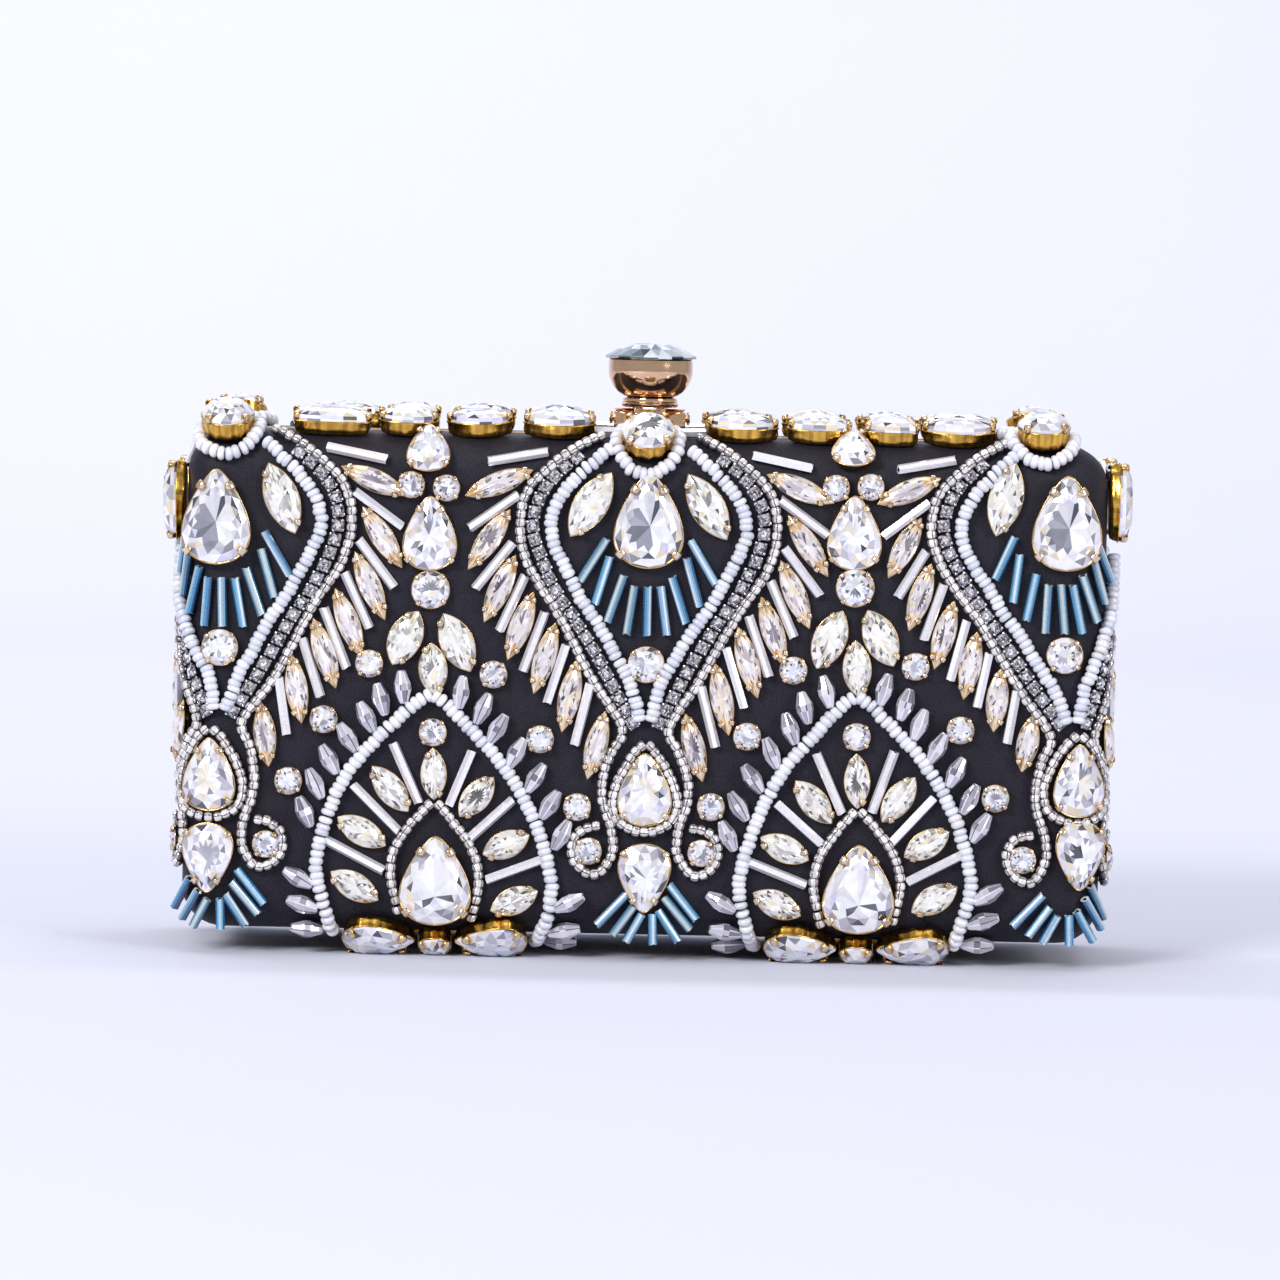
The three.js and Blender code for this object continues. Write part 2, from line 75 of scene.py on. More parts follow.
# The body, measured on the frame, and the layers that the frame was built with.
SATIN_LOW, SATIN_HIGH = box_mm("front_satin")
HALF_WIDTH = SATIN_HIGH[0]
TOP = SATIN_HIGH[2]
BOTTOM = SATIN_LOW[2]
FACE = -SATIN_LOW[1]
RIM = -SATIN_HIGH[1]
EDGE = 8.0
CORNER = 9.0
SATIN_THICKNESS = 0.5
LINING = {"outer": 3.2, "inner": 4.0, "rim": 0.6, "face": 2.85}

# The flat part of the face, and the unrolled length of a rounded edge.
CORE_U = HALF_WIDTH - EDGE
CORE_TOP = TOP - EDGE
CORE_BOTTOM = BOTTOM + EDGE
QUARTER = EDGE * math.pi / 2
EDGE_U = CORE_U + QUARTER + FACE - EDGE - RIM

# How stones sit on the rounded edges, in radians round them and in standing height.
CROWN_LEAN = {"left": 1.15, "centre": 0.88, "right": 1.3}
CROWN_RISE = {"left": 0.2, "centre": 0.2, "right": 0.5}
CROWN_STONE = {"cup": 4.0, "crown": 3.0, "belt": 1.0}
FOOT_LEAN = {"pear": 1.0, "oval": 1.2}
FOOT_RISE = 0.3
FOOT_STONE = {"cup": 3.0, "crown": 2.4, "belt": 0.7}
SIDE_STONE = {"cup": 2.0, "crown": 3.0, "belt": 1.5}
TOP_STONE_LEAN = 1.36
TOP_STONE = {"cup": 2.9, "crown": 2.8, "belt": 1.5}

# Beads.
DISC_RADIUS = 1.52
DISC_PITCH = 1.45
ROUND_RADIUS = 1.58
ROUND_PITCH = 1.52
CLEAR_RADIUS = 1.2
CLEAR_PITCH = 1.8
CHAIN_PITCH = 3.05
LANTERN_RADIUS = 1.9


def rgb(code):
    """A colour written as sRGB hex, as linear values."""
    values = [int(code[i:i + 2], 16) / 255 for i in (0, 2, 4)]
    return tuple(v / 12.92 if v <= 0.04045 else ((v + 0.055) / 1.055) ** 2.4 for v in values)


# Painted glints and reflections of the glass: the colours that its facets get, with how often each comes.
TABLE_FACET_REFLECTIONS = {
    "f6f6f9": 36, "dfdfe7": 20, "b4b4c0": 16, "8e8e9a": 10, "42424d": 5, "efe6d6": 6, "d4dbee": 5,
}
CROWN_FACET_REFLECTIONS = {
    "f8f6f9": 36, "e2dfe6": 22, "bbb8c2": 14, "8f8c96": 8, "e6d6b4": 8, "d3cdea": 4, "4c4a53": 5,
}
NAVETTE_FACET_REFLECTIONS = {
    "f2ecec": 28, "e2d8da": 22, "c4b9be": 16, "8d838b": 10, "efe0c6": 8, "58505a": 5,
}
SET_CROWN_FACET_REFLECTIONS = {"f1ece8": 28, "e0d7d6": 20, "bcb2b5": 14, "8a8088": 8, "e9d3a9": 10, "4f4852": 4}
PALE_FACET_REFLECTIONS = {"f8f6f1": 32, "e9e6df": 22, "c0bcb9": 14, "918d8c": 8, "efe5c9": 9, "5a5655": 4}
TIP_GOLD_REFLECTIONS = {"e8c79a": 24, "f0dcc0": 22, "d9a96a": 14, "c4935a": 8, "f6ece0": 14, "8a6a48": 6}
CLASP_FACET_REFLECTIONS = {
    "dfe5ea": 22, "b3bec6": 20, "84939a": 18, "56656b": 16, "333f44": 12, "dccfbf": 8,
}
LANTERN_FACET_REFLECTIONS = {"d9d6e0": 30, "c2bfcb": 28, "a5a2ae": 18, "7d7a88": 8}
SMALL_FACET_REFLECTIONS = {"f2f1f5": 24, "c9c7d1": 22, "98959f": 20, "64616b": 16, "e3d3b4": 6, "2f2d35": 12}

# How far a claw's painted highlight is lightened towards white.
CLAW_PAINTED_HIGHLIGHT = 0.5
YELLOW_GOLD = rgb("ecbb58")
PALE_GOLD = rgb("dcb676")
ROSE_GOLD = rgb("e6bf9c")
SILVER = rgb("a3a3ab")
DARK_SILVER = rgb("55555d")
STEEL = rgb("b9b9bf")


def drawn(rng, palette, count):
    """Colours drawn from a palette of hex codes and weights."""
    weights = np.array(list(palette.values()), float)
    colours = [rgb(code) for code in palette]
    return [colours[i] for i in rng.choice(len(colours), count, p=weights / weights.sum())]


# ---------------------------------------------------------------- shapes

class Shape:
    """A mesh being put together: points, faces, and each face's colour and shading."""

    def __init__(self):
        self.blocks = []
        self.count = 0
        self.faces = []
        self.paint = []
        self.smooth = []

    def ring(self, points):
        block = np.asarray(points, float).reshape(-1, 3)
        first = self.count
        self.blocks.append(block)
        self.count += len(block)
        return list(range(first, self.count))

    def points(self):
        return np.concatenate(self.blocks)

    def face(self, corners, colour, smooth=False):
        self.faces.append(tuple(corners))
        self.paint.append(colour)
        self.smooth.append(smooth)

    def band(self, low, high, colours, smooth=False):
        """Four-sided faces between two closed rings of equal length."""
        count = len(low)
        for i in range(count):
            j = (i + 1) % count
            self.face((low[i], low[j], high[j], high[i]), colours[i % len(colours)], smooth)

    def facets(self, low, high, colours):
        """Triangles between two rings, each point of high half a step on from the same point of low."""
        count = len(low)
        for i in range(count):
            j = (i + 1) % count
            self.face((low[i], low[j], high[i]), colours[2 * i])
            self.face((high[i], low[j], high[j]), colours[2 * i + 1])

    def add(self, other, place, tint=1.0):
        origin, axes = place
        first = self.count
        self.ring(other.points() @ axes + origin)
        self.faces += [tuple(first + corner for corner in face) for face in other.faces]
        self.paint += list(np.asarray(other.paint) * tint)
        self.smooth += other.smooth


def round_angles(count, shift=0.0):
    """Even angles once round, in radians, the first one shifted by a share of a step."""
    return (np.arange(count) + shift) / count * 2 * math.pi


def round_ring(radius, z, angles):
    heights = np.broadcast_to(z, angles.shape)
    return np.column_stack([radius * np.cos(angles), radius * np.sin(angles), heights])


def spun(profile, count, colours, smooth=True):
    """A closed shape turned round Z, from its lowest (radius, z) to its highest."""
    shape = Shape()
    angles = round_angles(count)
    rings = [shape.ring(round_ring(radius, z, angles)) for radius, z in profile]
    shape.face(rings[0][::-1], colours[0])
    for k, (low, high) in enumerate(zip(rings, rings[1:])):
        shape.band(low, high, [colours[k % len(colours)]], smooth)
    shape.face(rings[-1], colours[-1])
    return shape


def lying(shape):
    """Lays a shape made along Z down along Y, its -Y side up."""
    turned = Shape()
    turned.add(shape, (np.zeros(3), np.array([[1, 0, 0], [0, 0, -1], [0, 1, 0]], float)))
    return turned


# A pear's outline: how broad its foot is, how much its tip tapers, and the widest value that comes of it.
PEAR_FOOT = 1.18
PEAR_TAPER = 0.75
PEAR_GIRTH = 0.912
# Where the painted reflections of gold at the ends of a long stone begin, as a share of its half length.
TIP_SHARE = 0.55


def pear(width, height, count=16):
    """A pear's outline, counter-clockwise from its tip, which points along Y."""
    angle = round_angles(count)
    taper = PEAR_FOOT - PEAR_TAPER * (0.5 + 0.5 * np.cos(angle)) ** 1.15
    across = -width / 2 / PEAR_GIRTH * np.sin(angle) * taper
    return np.column_stack([across, height / 2 * np.cos(angle)])


def navette(width, length, count=16):
    """Two arcs that meet in points, counter-clockwise from the tip along Y."""
    angle = round_angles(count)
    y = length / 2 * np.cos(angle)
    radius = (length ** 2 + width ** 2) / (4 * width)
    x = np.sqrt(np.maximum(radius ** 2 - y ** 2, 0)) - (radius - width / 2)
    return np.column_stack([-np.sign(np.sin(angle)) * x, y])


def baguette(width, length, count=16):
    """A long stone with blunt, rounded ends."""
    angle = round_angles(count, 0.5)
    x = np.sign(np.sin(angle)) * np.abs(np.sin(angle)) ** 0.4
    y = np.sign(np.cos(angle)) * np.abs(np.cos(angle)) ** 0.75
    return np.column_stack([-width / 2 * x, length / 2 * y])


def oval(width, height, count=16):
    angle = round_angles(count, 0.5)
    return np.column_stack([-width / 2 * np.sin(angle), height / 2 * np.cos(angle)])


def cut_stone(outline, cup, crown, rng, belt=0.4, palettes=(CROWN_FACET_REFLECTIONS, TABLE_FACET_REFLECTIONS), table=0.6,
              panes=None, tips=None, heart=None):
    """Foil-backed cut glass: a belt, crown facets, and a table with the few big facets that show through it.
    Every facet's colour is a painted glint or reflection.

    panes are (share of the way round, hex) for the painted reflections of the big facets, each from one share
    to the next.
    They meet at the heart, a share of the size. tips is the palette of a long stone's ends, painted with the
    reflection of the gold that shows through.
    """
    stone = Shape()
    count = len(outline)
    between = (outline + np.roll(outline, -1, 0)) / 2
    wobble = 0.012 * float(np.ptp(outline[:, 0]))
    top = cup + crown

    def level(points, scale, height, shake=0.0):
        heights = height + rng.uniform(-shake, shake, count)
        return stone.ring(np.column_stack([points * scale, heights]))

    foot = level(outline, 0.8, cup - 0.6)
    girdle = level(outline, 0.99, cup)
    bulge = level(outline, 1.0, cup + belt / 2)
    waist = level(outline, 0.975, cup + belt)
    middle = level(between, (1 + table) / 2, cup + belt + 0.6 * (crown - belt))
    rim = level(outline, table, top, wobble)
    edge_colours, table_colours = palettes
    stone.face(foot[::-1], rgb("8b8894"))
    for low, high in ((foot, girdle), (girdle, bulge), (bulge, waist)):
        stone.band(low, high, drawn(rng, edge_colours, count))
    stone.facets(waist, middle, drawn(rng, edge_colours, 2 * count))
    stone.facets(middle, rim[1:] + rim[:1], drawn(rng, edge_colours, 2 * count))
    meeting = np.ptp(outline, axis=0) * (rng.uniform(-0.06, 0.06, 2) if heart is None else np.array(heart))
    star = level(between, table * (0.62 if heart is None else 0.8), top, wobble)
    centre = stone.ring([[*meeting, top + wobble]])[0]
    if panes is None:
        turns = np.sort(rng.uniform(0, 1, 5))
        panes = list(zip(turns, drawn(rng, table_colours, 5)))
    else:
        panes = [(share, rgb(code)) for share, code in panes]

    def pane(share):
        reached = [colour for turn, colour in panes if turn <= share]
        return reached[-1] if reached else panes[-1][1]

    gaps = drawn(rng, table_colours, count)
    for i in range(count):
        j = (i + 1) % count
        stone.face((rim[i], rim[j], star[i]), gaps[i])
        stone.face((star[i], rim[j], star[j]), pane((i + 0.5) / count))
        stone.face((star[i], star[j], centre), pane((i + 0.5) / count))
    # Painted reflection of gold on the facets at the ends of a long stone.
    if tips:
        points = stone.points()
        reach = TIP_SHARE * np.abs(outline[:, 1]).max()
        for k, face in enumerate(stone.faces):
            if abs(points[list(face), 1].mean()) > reach:
                stone.paint[k] = drawn(rng, tips, 1)[0]
    return stone


CLAW_PATH = np.array([(0.0, -0.9), (0.35, -0.1), (0.42, 0.6), (0.2, 1.05), (-0.35, 1.3), (-0.95, 1.36)])
CLAW_SECTION = ((0.5, -1), (1, -0.62), (1, 0.62), (0.5, 1), (-0.5, 0.8), (-0.5, -0.8))
CLAW_WIDTHS = (0.8, 0.95, 1, 1, 0.9, 0.5)
CLAW_WIDTH = 1.75
CLAW_THICKNESS = 0.2
RIB_DEPTH = 0.035

# A cup's wall, as (scale of its outline, share of its height, rise above that, whether it is ribbed there).
CUP_WALL = (
    (0.8, 0, 0, False), (0.92, 0.12, 0, True), (0.97, 0.5, 0, True), (0.985, 0.9, 0, False),
    (1.02, 1, 0, False), (1.02, 1, 0.2, False), (0.985, 1, 0.22, False), (0.94, 1, -0.4, False),
)


def add_claw(shape, root, outward, height, size, colour):
    """A broad rounded claw that rises beside the girdle and bends in over the crown, with a painted highlight
    down its outer face.
    """
    sideways = np.array([-outward[1], outward[0], 0])
    outward = np.array([outward[0], outward[1], 0])
    upward = np.array([0, 0, 1.0])
    path = CLAW_PATH * size
    slopes = np.gradient(path, axis=0)
    rings = []
    for (out, up), (run, rise), share in zip(path, slopes, CLAW_WIDTHS):
        normal = (rise * outward - run * upward) / math.hypot(run, rise)
        centre = np.array([root[0], root[1], height]) + out * outward + up * upward
        thick = CLAW_THICKNESS * size * normal
        wide = CLAW_WIDTH * size / 2 * share * sideways
        rings.append(shape.ring([centre + n * thick + s * wide for n, s in CLAW_SECTION]))
    # The claw's outer face is painted lighter, towards white: a painted highlight.
    middle = CLAW_PAINTED_HIGHLIGHT + (1 - CLAW_PAINTED_HIGHLIGHT) * np.array(colour)
    painted_shading = [colour, middle, colour, colour, colour, colour]
    shape.face(rings[0][::-1], colour)
    for low, high in zip(rings, rings[1:]):
        shape.band(low, high, painted_shading, True)
    shape.face(rings[-1], colour)


def claw_cup(outline, height, claws, colour, size=1.0, ribs=0, belt=0.0):
    """The gold cup of a stone. Claws stand at shares of the way round its outline and reach over its belt."""
    cup = Shape()
    count = len(outline)
    fluted = 1 + (RIB_DEPTH * np.cos(ribs * round_angles(count)) if ribs else np.zeros(count))
    # Painted light and shade on a ribbed cup: the faces of each rib are painted lighter and darker in turn,
    # and the cup's underside is painted darker.
    painted_shading = [np.array(colour) * shade for shade in (0.95, 0.62, 1.0, 0.8)]
    wall = []
    for scale, share, rise, ribbed in CUP_WALL:
        waist = fluted[:, None] if ribbed else 1
        level = np.full(count, share * height + rise)
        wall.append(cup.ring(np.column_stack([outline * scale * waist, level])))
    cup.face(wall[0][::-1], painted_shading[1])
    for low, high in zip(wall, wall[1:]):
        cup.band(low, high, painted_shading if ribs else [colour], True)
    cup.face(wall[-1], colour)
    for share in claws:
        i = int(share * count)
        step = outline[(i + 1) % count] - outline[i]
        along = step / np.hypot(*step)
        root = outline[i] + step * (share * count - i)
        add_claw(cup, root, (along[1], -along[0]), height + 0.1 + belt * 0.6, size, colour)
    return cup


def shading_band_angles(shading_bands, rng, twist):
    """Where the lengthwise bands of painted highlight and shade on a bead part, and the colour from each
    angle to the next.

    The bands are given as (degrees, hex) from the middle of its -Y side round to its back, the same on both
    sides: painted highlight on the side that faces out, painted shade towards the back.
    """
    edges = np.cumsum([width for width, _ in shading_bands])
    angles = np.radians(np.concatenate([edges, 360 - edges[-2::-1]]) - 90 + rng.uniform(-twist, twist))
    painted_shading = [rgb(code) for _, code in shading_bands]
    return angles, painted_shading[1:] + painted_shading[:0:-1] + painted_shading[:1]


TUBE_HOLE = 0.5
TUBE_RAGGED = 0.22


def tube(length, radius, shading_bands, rng, twist):
    """A glass tube that lies along Y, with lengthwise bands of painted highlight and shade and slightly rough
    ends.
    """
    shape = Shape()
    hole = TUBE_HOLE * radius
    angles, colours = shading_band_angles(shading_bands, rng, twist)
    low = -length / 2 + rng.uniform(-TUBE_RAGGED, TUBE_RAGGED, len(angles))
    high = length / 2 + rng.uniform(-TUBE_RAGGED, TUBE_RAGGED, len(angles))
    walls = ((radius, low), (radius, high), (hole, high - 0.05), (hole, low + 0.05))
    rings = [shape.ring(round_ring(reach, z, angles)) for reach, z in walls]
    # The inside of the hole is painted near black, as painted shade; the ends take the top band's highlight
    # colour.
    ends = [colours[-1]]
    for k, painted_shading in enumerate((colours, ends, [rgb("24242c")], ends)):
        shape.band(rings[k], rings[(k + 1) % 4], painted_shading)
    return lying(shape)


# ---------------------------------------------------------------- places on the bag

def unrolled(z):
    """The unrolled height of a point that is seen at height z from straight in front."""
    if z > CORE_TOP:
        return CORE_TOP + EDGE * math.asin(min(1.0, (z - CORE_TOP) / EDGE))
    if z < CORE_BOTTOM:
        return CORE_BOTTOM - EDGE * math.asin(min(1.0, (CORE_BOTTOM - z) / EDGE))
    return z


class Half:
    """One half of the bag, seen from its own front: u runs right and v up, over the satin and its edges."""

    def __init__(self, name, turn, seed):
        self.name = name
        self.turn = np.array([turn, turn, 1.0])
        self.rng = np.random.default_rng(seed)
        self.batches = {}

    def batch(self, kind):
        return self.batches.setdefault(kind, Shape())

    def seat(self, u, v, height=0.0, heading=(0.0, 1.0)):
        """Where the satin is at (u, v): a point above it and the axes across, along the heading, and out."""
        core_u = min(max(u, -CORE_U), CORE_U)
        core_v = min(max(v, CORE_BOTTOM), CORE_TOP)
        over_u, over_v = u - core_u, v - core_v
        reach = math.hypot(over_u, over_v)
        du, dv = (over_u / reach, over_v / reach) if reach > 0 else (1.0, 0.0)
        angle = min(reach / EDGE, math.pi / 2)
        sin, cos = math.sin(angle), math.cos(angle)
        depth = EDGE * (1 - cos) - FACE + max(0.0, reach - QUARTER)
        point = np.array([core_u + du * EDGE * sin, depth, core_v + dv * EDGE * sin])
        out = np.array([du * sin, -cos, dv * sin])
        away = np.array([du * cos, sin, dv * cos])
        level = np.array([-dv, 0.0, du])
        right = du * away - dv * level
        up = dv * away + du * level
        along = (heading[0] * right + heading[1] * up) / math.hypot(*heading)
        across = np.cross(along, out)
        return self.turn * (point + height * out), np.array([across, along, out]) * self.turn

    def put(self, kind, shape, u, v, height=0.0, heading=(0.0, 1.0), sway=0.0, tint=1.0):
        """Adds a shape to a batch, tipped by a given pair of slopes, or at random by up to about sway."""
        origin, (across, along, out) = self.seat(u, v, height, heading)
        tip_across, tip_along = self.rng.uniform(-sway, sway, 2) if np.isscalar(sway) else sway
        out = out + tip_across * across + tip_along * along
        out = out / np.linalg.norm(out)
        across = np.cross(along, out)
        across = across / np.linalg.norm(across)
        self.batch(kind).add(shape, (origin, np.array([across, np.cross(out, across), out])), tint)


def span(start, end):
    """Middle, heading and length of the line between two places."""
    start, end = np.array(start, float), np.array(end, float)
    heading = end - start
    return (start + end) / 2, heading, float(np.hypot(*heading))


def even_steps(points, pitch):
    """Places and headings at an even pitch along a smooth curve through the points."""
    points = np.array(points, float)
    padded = np.vstack([2 * points[0] - points[1], points, 2 * points[-1] - points[-2]])
    share = np.linspace(0, 1, 12, endpoint=False)[:, None]
    stretches = []
    for a, b, c, d in zip(padded, padded[1:], padded[2:], padded[3:]):
        bend = (2 * a - 5 * b + 4 * c - d) * share ** 2 + (3 * b - a - 3 * c + d) * share ** 3
        stretches.append(b + ((c - a) * share + bend) / 2)
    curve = np.vstack([*stretches, points[-1:]])
    lengths = np.concatenate([[0], np.cumsum(np.hypot(*np.diff(curve, axis=0).T))])
    count = max(1, int(round(lengths[-1] / pitch)))
    spots = (np.arange(count) + 0.5) * lengths[-1] / count
    places = np.column_stack([np.interp(spots, lengths, curve[:, k]) for k in (0, 1)])
    headings = np.gradient(places, axis=0) if count > 1 else np.array([curve[-1] - curve[0]])
    return zip(places, headings)


class Motif:
    """A figure round a centre line. Its at() turns a distance across and a height into a place on the satin.

    outer is the side, -1 or 1, that wraps round the end of the bag, or 0. bend is how far the centre line
    strays across at some heights, as (z, u), and lift is how far it strays upwards. tilt raises one side of
    the figure, and spreads widen or narrow its left and right.
    """

    def __init__(self, half, centre, bend, lift=((0, 0),), tilt=0.0, spreads=(1.0, 1.0), outer=0):
        self.half = half
        self.centre = centre
        self.outer = outer
        self.bend = bend
        self.lift = lift
        self.tilt = tilt
        self.spreads = {-1: spreads[0], 0: 1.0, 1: spreads[1]}

    def at(self, mirror, across, z, lifted=True):
        lift = np.interp(z, *zip(*self.lift)) if lifted else 0.0
        stray = np.interp(z, *zip(*self.bend))
        u = self.centre + stray + mirror * across * self.spreads[mirror]
        return u, unrolled(z + lift + mirror * across * self.tilt)

    def line(self, mirror, points, lifted=True):
        return [self.at(mirror, across, z, lifted) for across, z in points]


def clear_of_frame(u, margin):
    return abs(u) < EDGE_U - margin


# ---------------------------------------------------------------- beads

SEED_TINTS = np.array([
    (1, 1, 1), (0.94, 0.94, 0.99), (0.97, 0.97, 1), (0.86, 0.87, 0.92), (1.03, 1.01, 0.98),
])


class Seeds:
    """White seed beads of four thicknesses, lying along Y, with rounded rims that leave a groove between."""

    def __init__(self, kind, radius, pitch, code):
        self.kind = kind
        self.radius = radius
        self.pitch = pitch
        angles = np.radians(np.linspace(-90, 90, 8))
        self.beads = []
        for share in (0.96, 1.06, 1.16, 1.26):
            round_off = pitch * share / 2
            profile = [(radius - round_off * (1 - math.cos(a)), round_off * math.sin(a)) for a in angles]
            self.beads.append(lying(spun(profile, 14, [rgb(code)])))

    def string(self, half, points):
        rng = half.rng
        for (u, v), heading in even_steps(points, self.pitch):
            shift = rng.uniform(-0.18, 0.18, 2)
            bead = self.beads[rng.integers(len(self.beads))]
            tint = SEED_TINTS[rng.integers(len(SEED_TINTS))] * rng.uniform(0.9, 1.04)
            height = self.radius + 0.05 + rng.uniform(0, 0.15)
            half.put(self.kind, bead, u + shift[0], v + shift[1], height, heading, 0.14, tint)


# Bands round a clear bead: a painted highlight on the side that faces out, painted dark lines, and painted
# shade towards the back.
CLEAR_BEAD_SHADING = (
    (26, "f3efee"), (14, "6b6468"), (20, "dbd3d1"), (22, "7d767a"), (38, "4a454b"), (60, "4a454b"),
)
CLEAR_PROFILE = ((0.62, -0.5), (0.9, -0.38), (1.0, -0.16), (1.0, 0.16), (0.9, 0.38), (0.62, 0.5))


def clear_beads(rng):
    """Short clear glass beads with lengthwise bands of painted highlight and shade, and ends painted dark as
    the shade of their holes and the grooves between beads, in a few twists.
    """
    beads = []
    for _ in range(6):
        angles, colours = shading_band_angles(CLEAR_BEAD_SHADING, rng, 32)
        bead = Shape()
        profile = np.array(CLEAR_PROFILE) * (CLEAR_RADIUS, CLEAR_PITCH)
        rings = [bead.ring(round_ring(radius, z, angles)) for radius, z in profile]
        # The end caps are painted dark: painted shade in the hole and in the groove to the next bead.
        bead.face(rings[0][::-1], rgb("35333d"))
        for low, high in zip(rings, rings[1:]):
            bead.band(low, high, colours, True)
        bead.face(rings[-1], rgb("35333d"))
        beads.append(lying(bead))
    return beads


def string_clear(half, points, beads):
    for (u, v), heading in even_steps(points, CLEAR_PITCH):
        tint = half.rng.uniform(0.75, 1.05)
        bead = beads[half.rng.integers(len(beads))]
        half.put("clear_seed_beads", bead, u, v, CLEAR_RADIUS + 0.05, heading, 0.14, tint)


CHAIN_STONE = 2.65
CHAIN_CUP = 0.9
CHAIN_CLAWS = 0.42
CHAIN_LINK = 0.3


def square(size, count=16):
    """A square with rounded corners, sides along X and Y."""
    angle = round_angles(count, 0.5)
    sine, cosine = np.sin(angle), np.cos(angle)
    reach = (np.abs(sine) ** 5 + np.abs(cosine) ** 5) ** -0.2
    return np.column_stack([-size / 2 * sine * reach, size / 2 * cosine * reach])


def chain_stones(rng):
    """A few small foil-backed stones in square silver cups, with a link to the next one."""
    stones = []
    palettes = (SMALL_FACET_REFLECTIONS, SMALL_FACET_REFLECTIONS)
    for _ in range(8):
        glass = cut_stone(oval(CHAIN_STONE, CHAIN_STONE, 8), CHAIN_CUP + 0.05, 0.85, rng, 0.1, palettes, 0.5)
        metal = claw_cup(square(CHAIN_STONE), CHAIN_CUP, ROUND_CLAWS, SILVER, CHAIN_CLAWS)
        link = spun([(CHAIN_LINK, -CHAIN_PITCH / 2), (CHAIN_LINK, CHAIN_PITCH / 2)], 6, [DARK_SILVER])
        metal.add(lying(link), (np.array([0, 0, 0.5]), np.eye(3)))
        stones.append((glass, metal))
    return stones


def string_chain(half, points, stones):
    for (u, v), heading in even_steps(points, CHAIN_PITCH):
        glass, metal = stones[half.rng.integers(len(stones))]
        sway = half.rng.uniform(-0.12, 0.12)
        for kind, shape in (("chain_stones", glass), ("chain_cups", metal)):
            half.put(kind, shape, u + sway, v, 0.1, heading)


# Bands round a bugle: its glass colour, with a painted highlight on the side that faces out and painted shade
# towards its back.
BLUE_BUGLE_SHADING = (
    ((14, "d6e4ee"), (22, "7fb0cc"), (30, "4f8fb5"), (34, "2d5f86"), (40, "1d3f66"), (40, "142c4a")),
    ((10, "e2ecf2"), (26, "9ab8cf"), (26, "6f9dbd"), (38, "35678f"), (40, "1f4468"), (40, "142c4a")),
    ((16, "b3cbd6"), (20, "6fa9cc"), (34, "3f86b4"), (30, "2a5c8a"), (40, "1d3f66"), (40, "142c4a")),
    ((18, "c3cfd0"), (20, "86a7b6"), (32, "54819f"), (30, "2f5f80"), (40, "1c3c60"), (40, "142c4a")),
)
WHITE_BUGLE_SHADING = (
    ((30, "f4f2f5"), (60, "dad7de"), (60, "a9a6b1"), (30, "82808c")),
    ((30, "e8e5eb"), (60, "f5f3f6"), (60, "b5b2bc"), (30, "82808c")),
    ((24, "f8f6f9"), (60, "e2dfe6"), (66, "a29fab"), (30, "82808c")),
)


BUGLES = {"blue_bugles": (1.0, BLUE_BUGLE_SHADING, 38), "white_bugles": (1.08, WHITE_BUGLE_SHADING, 25)}


def bugle_shape(half, kind, length):
    """A tube bead of one kind, and how high its middle stands."""
    radius, shading_bands, twist = BUGLES[kind]
    chosen = shading_bands[half.rng.integers(len(shading_bands))]
    return tube(length, radius, chosen, half.rng, twist), radius + 0.1


def bugle(half, kind, start, end):
    """One tube bead between two places."""
    (u, v), heading, length = span(start, end)
    shape, height = bugle_shape(half, kind, length)
    half.put(kind, shape, u, v, height, heading, 0.05, half.rng.uniform(0.92, 1.05))


LANTERN_PROFILE = (
    (0.75, -3.6), (1.0, -3.3), (LANTERN_RADIUS, -0.7), (LANTERN_RADIUS, 0.7), (1.0, 3.3), (0.75, 3.6),
)
# Colours for the narrow edges between a lantern bead's facets: painted highlights and painted shade.
LANTERN_EDGE_HIGHLIGHT_AND_SHADE = ("f4f2f8", "63606d", "eceaf2", "55525f")


def lantern(half, u, v, heading):
    """A clear faceted bead, widest in the middle: its facets painted with reflections, the narrow edges
    between them with painted highlights or painted shade, and its ends painted dark.
    """
    shape = Shape()
    turn = half.rng.uniform(-0.3, 0.3)
    corners = round_angles(8) + turn
    angles = np.sort(np.concatenate([corners, corners + 0.16]))
    rings = [shape.ring(round_ring(radius, z, angles)) for radius, z in LANTERN_PROFILE]
    shape.face(rings[0][::-1], rgb("5a5866"))
    for low, high in zip(rings, rings[1:]):
        faces = drawn(half.rng, LANTERN_FACET_REFLECTIONS, 8)
        edge_highlight_and_shade = [rgb(LANTERN_EDGE_HIGHLIGHT_AND_SHADE[k]) for k in half.rng.integers(len(LANTERN_EDGE_HIGHLIGHT_AND_SHADE), size=8)]
        shape.band(low, high, [colour for pair in zip(edge_highlight_and_shade, faces) for colour in pair])
    shape.face(rings[-1], rgb("5a5866"))
    half.put("lantern_beads", lying(shape), u, v, LANTERN_RADIUS, heading, 0.06)


# ---------------------------------------------------------------- set stones

SIDE_CLAWS = (0.13, 0.4, 0.6, 0.87)
ROUND_CLAWS = (0.125, 0.375, 0.625, 0.875)
PEAR_CLAWS = (0.13, 0.38, 0.62, 0.87)
NAVETTE_PALETTES = (SET_CROWN_FACET_REFLECTIONS, NAVETTE_FACET_REFLECTIONS)
CLEAR_PALETTES = (CROWN_FACET_REFLECTIONS, TABLE_FACET_REFLECTIONS)
PALE_PALETTES = (PALE_FACET_REFLECTIONS, PALE_FACET_REFLECTIONS)
CUP_FINENESS = 48


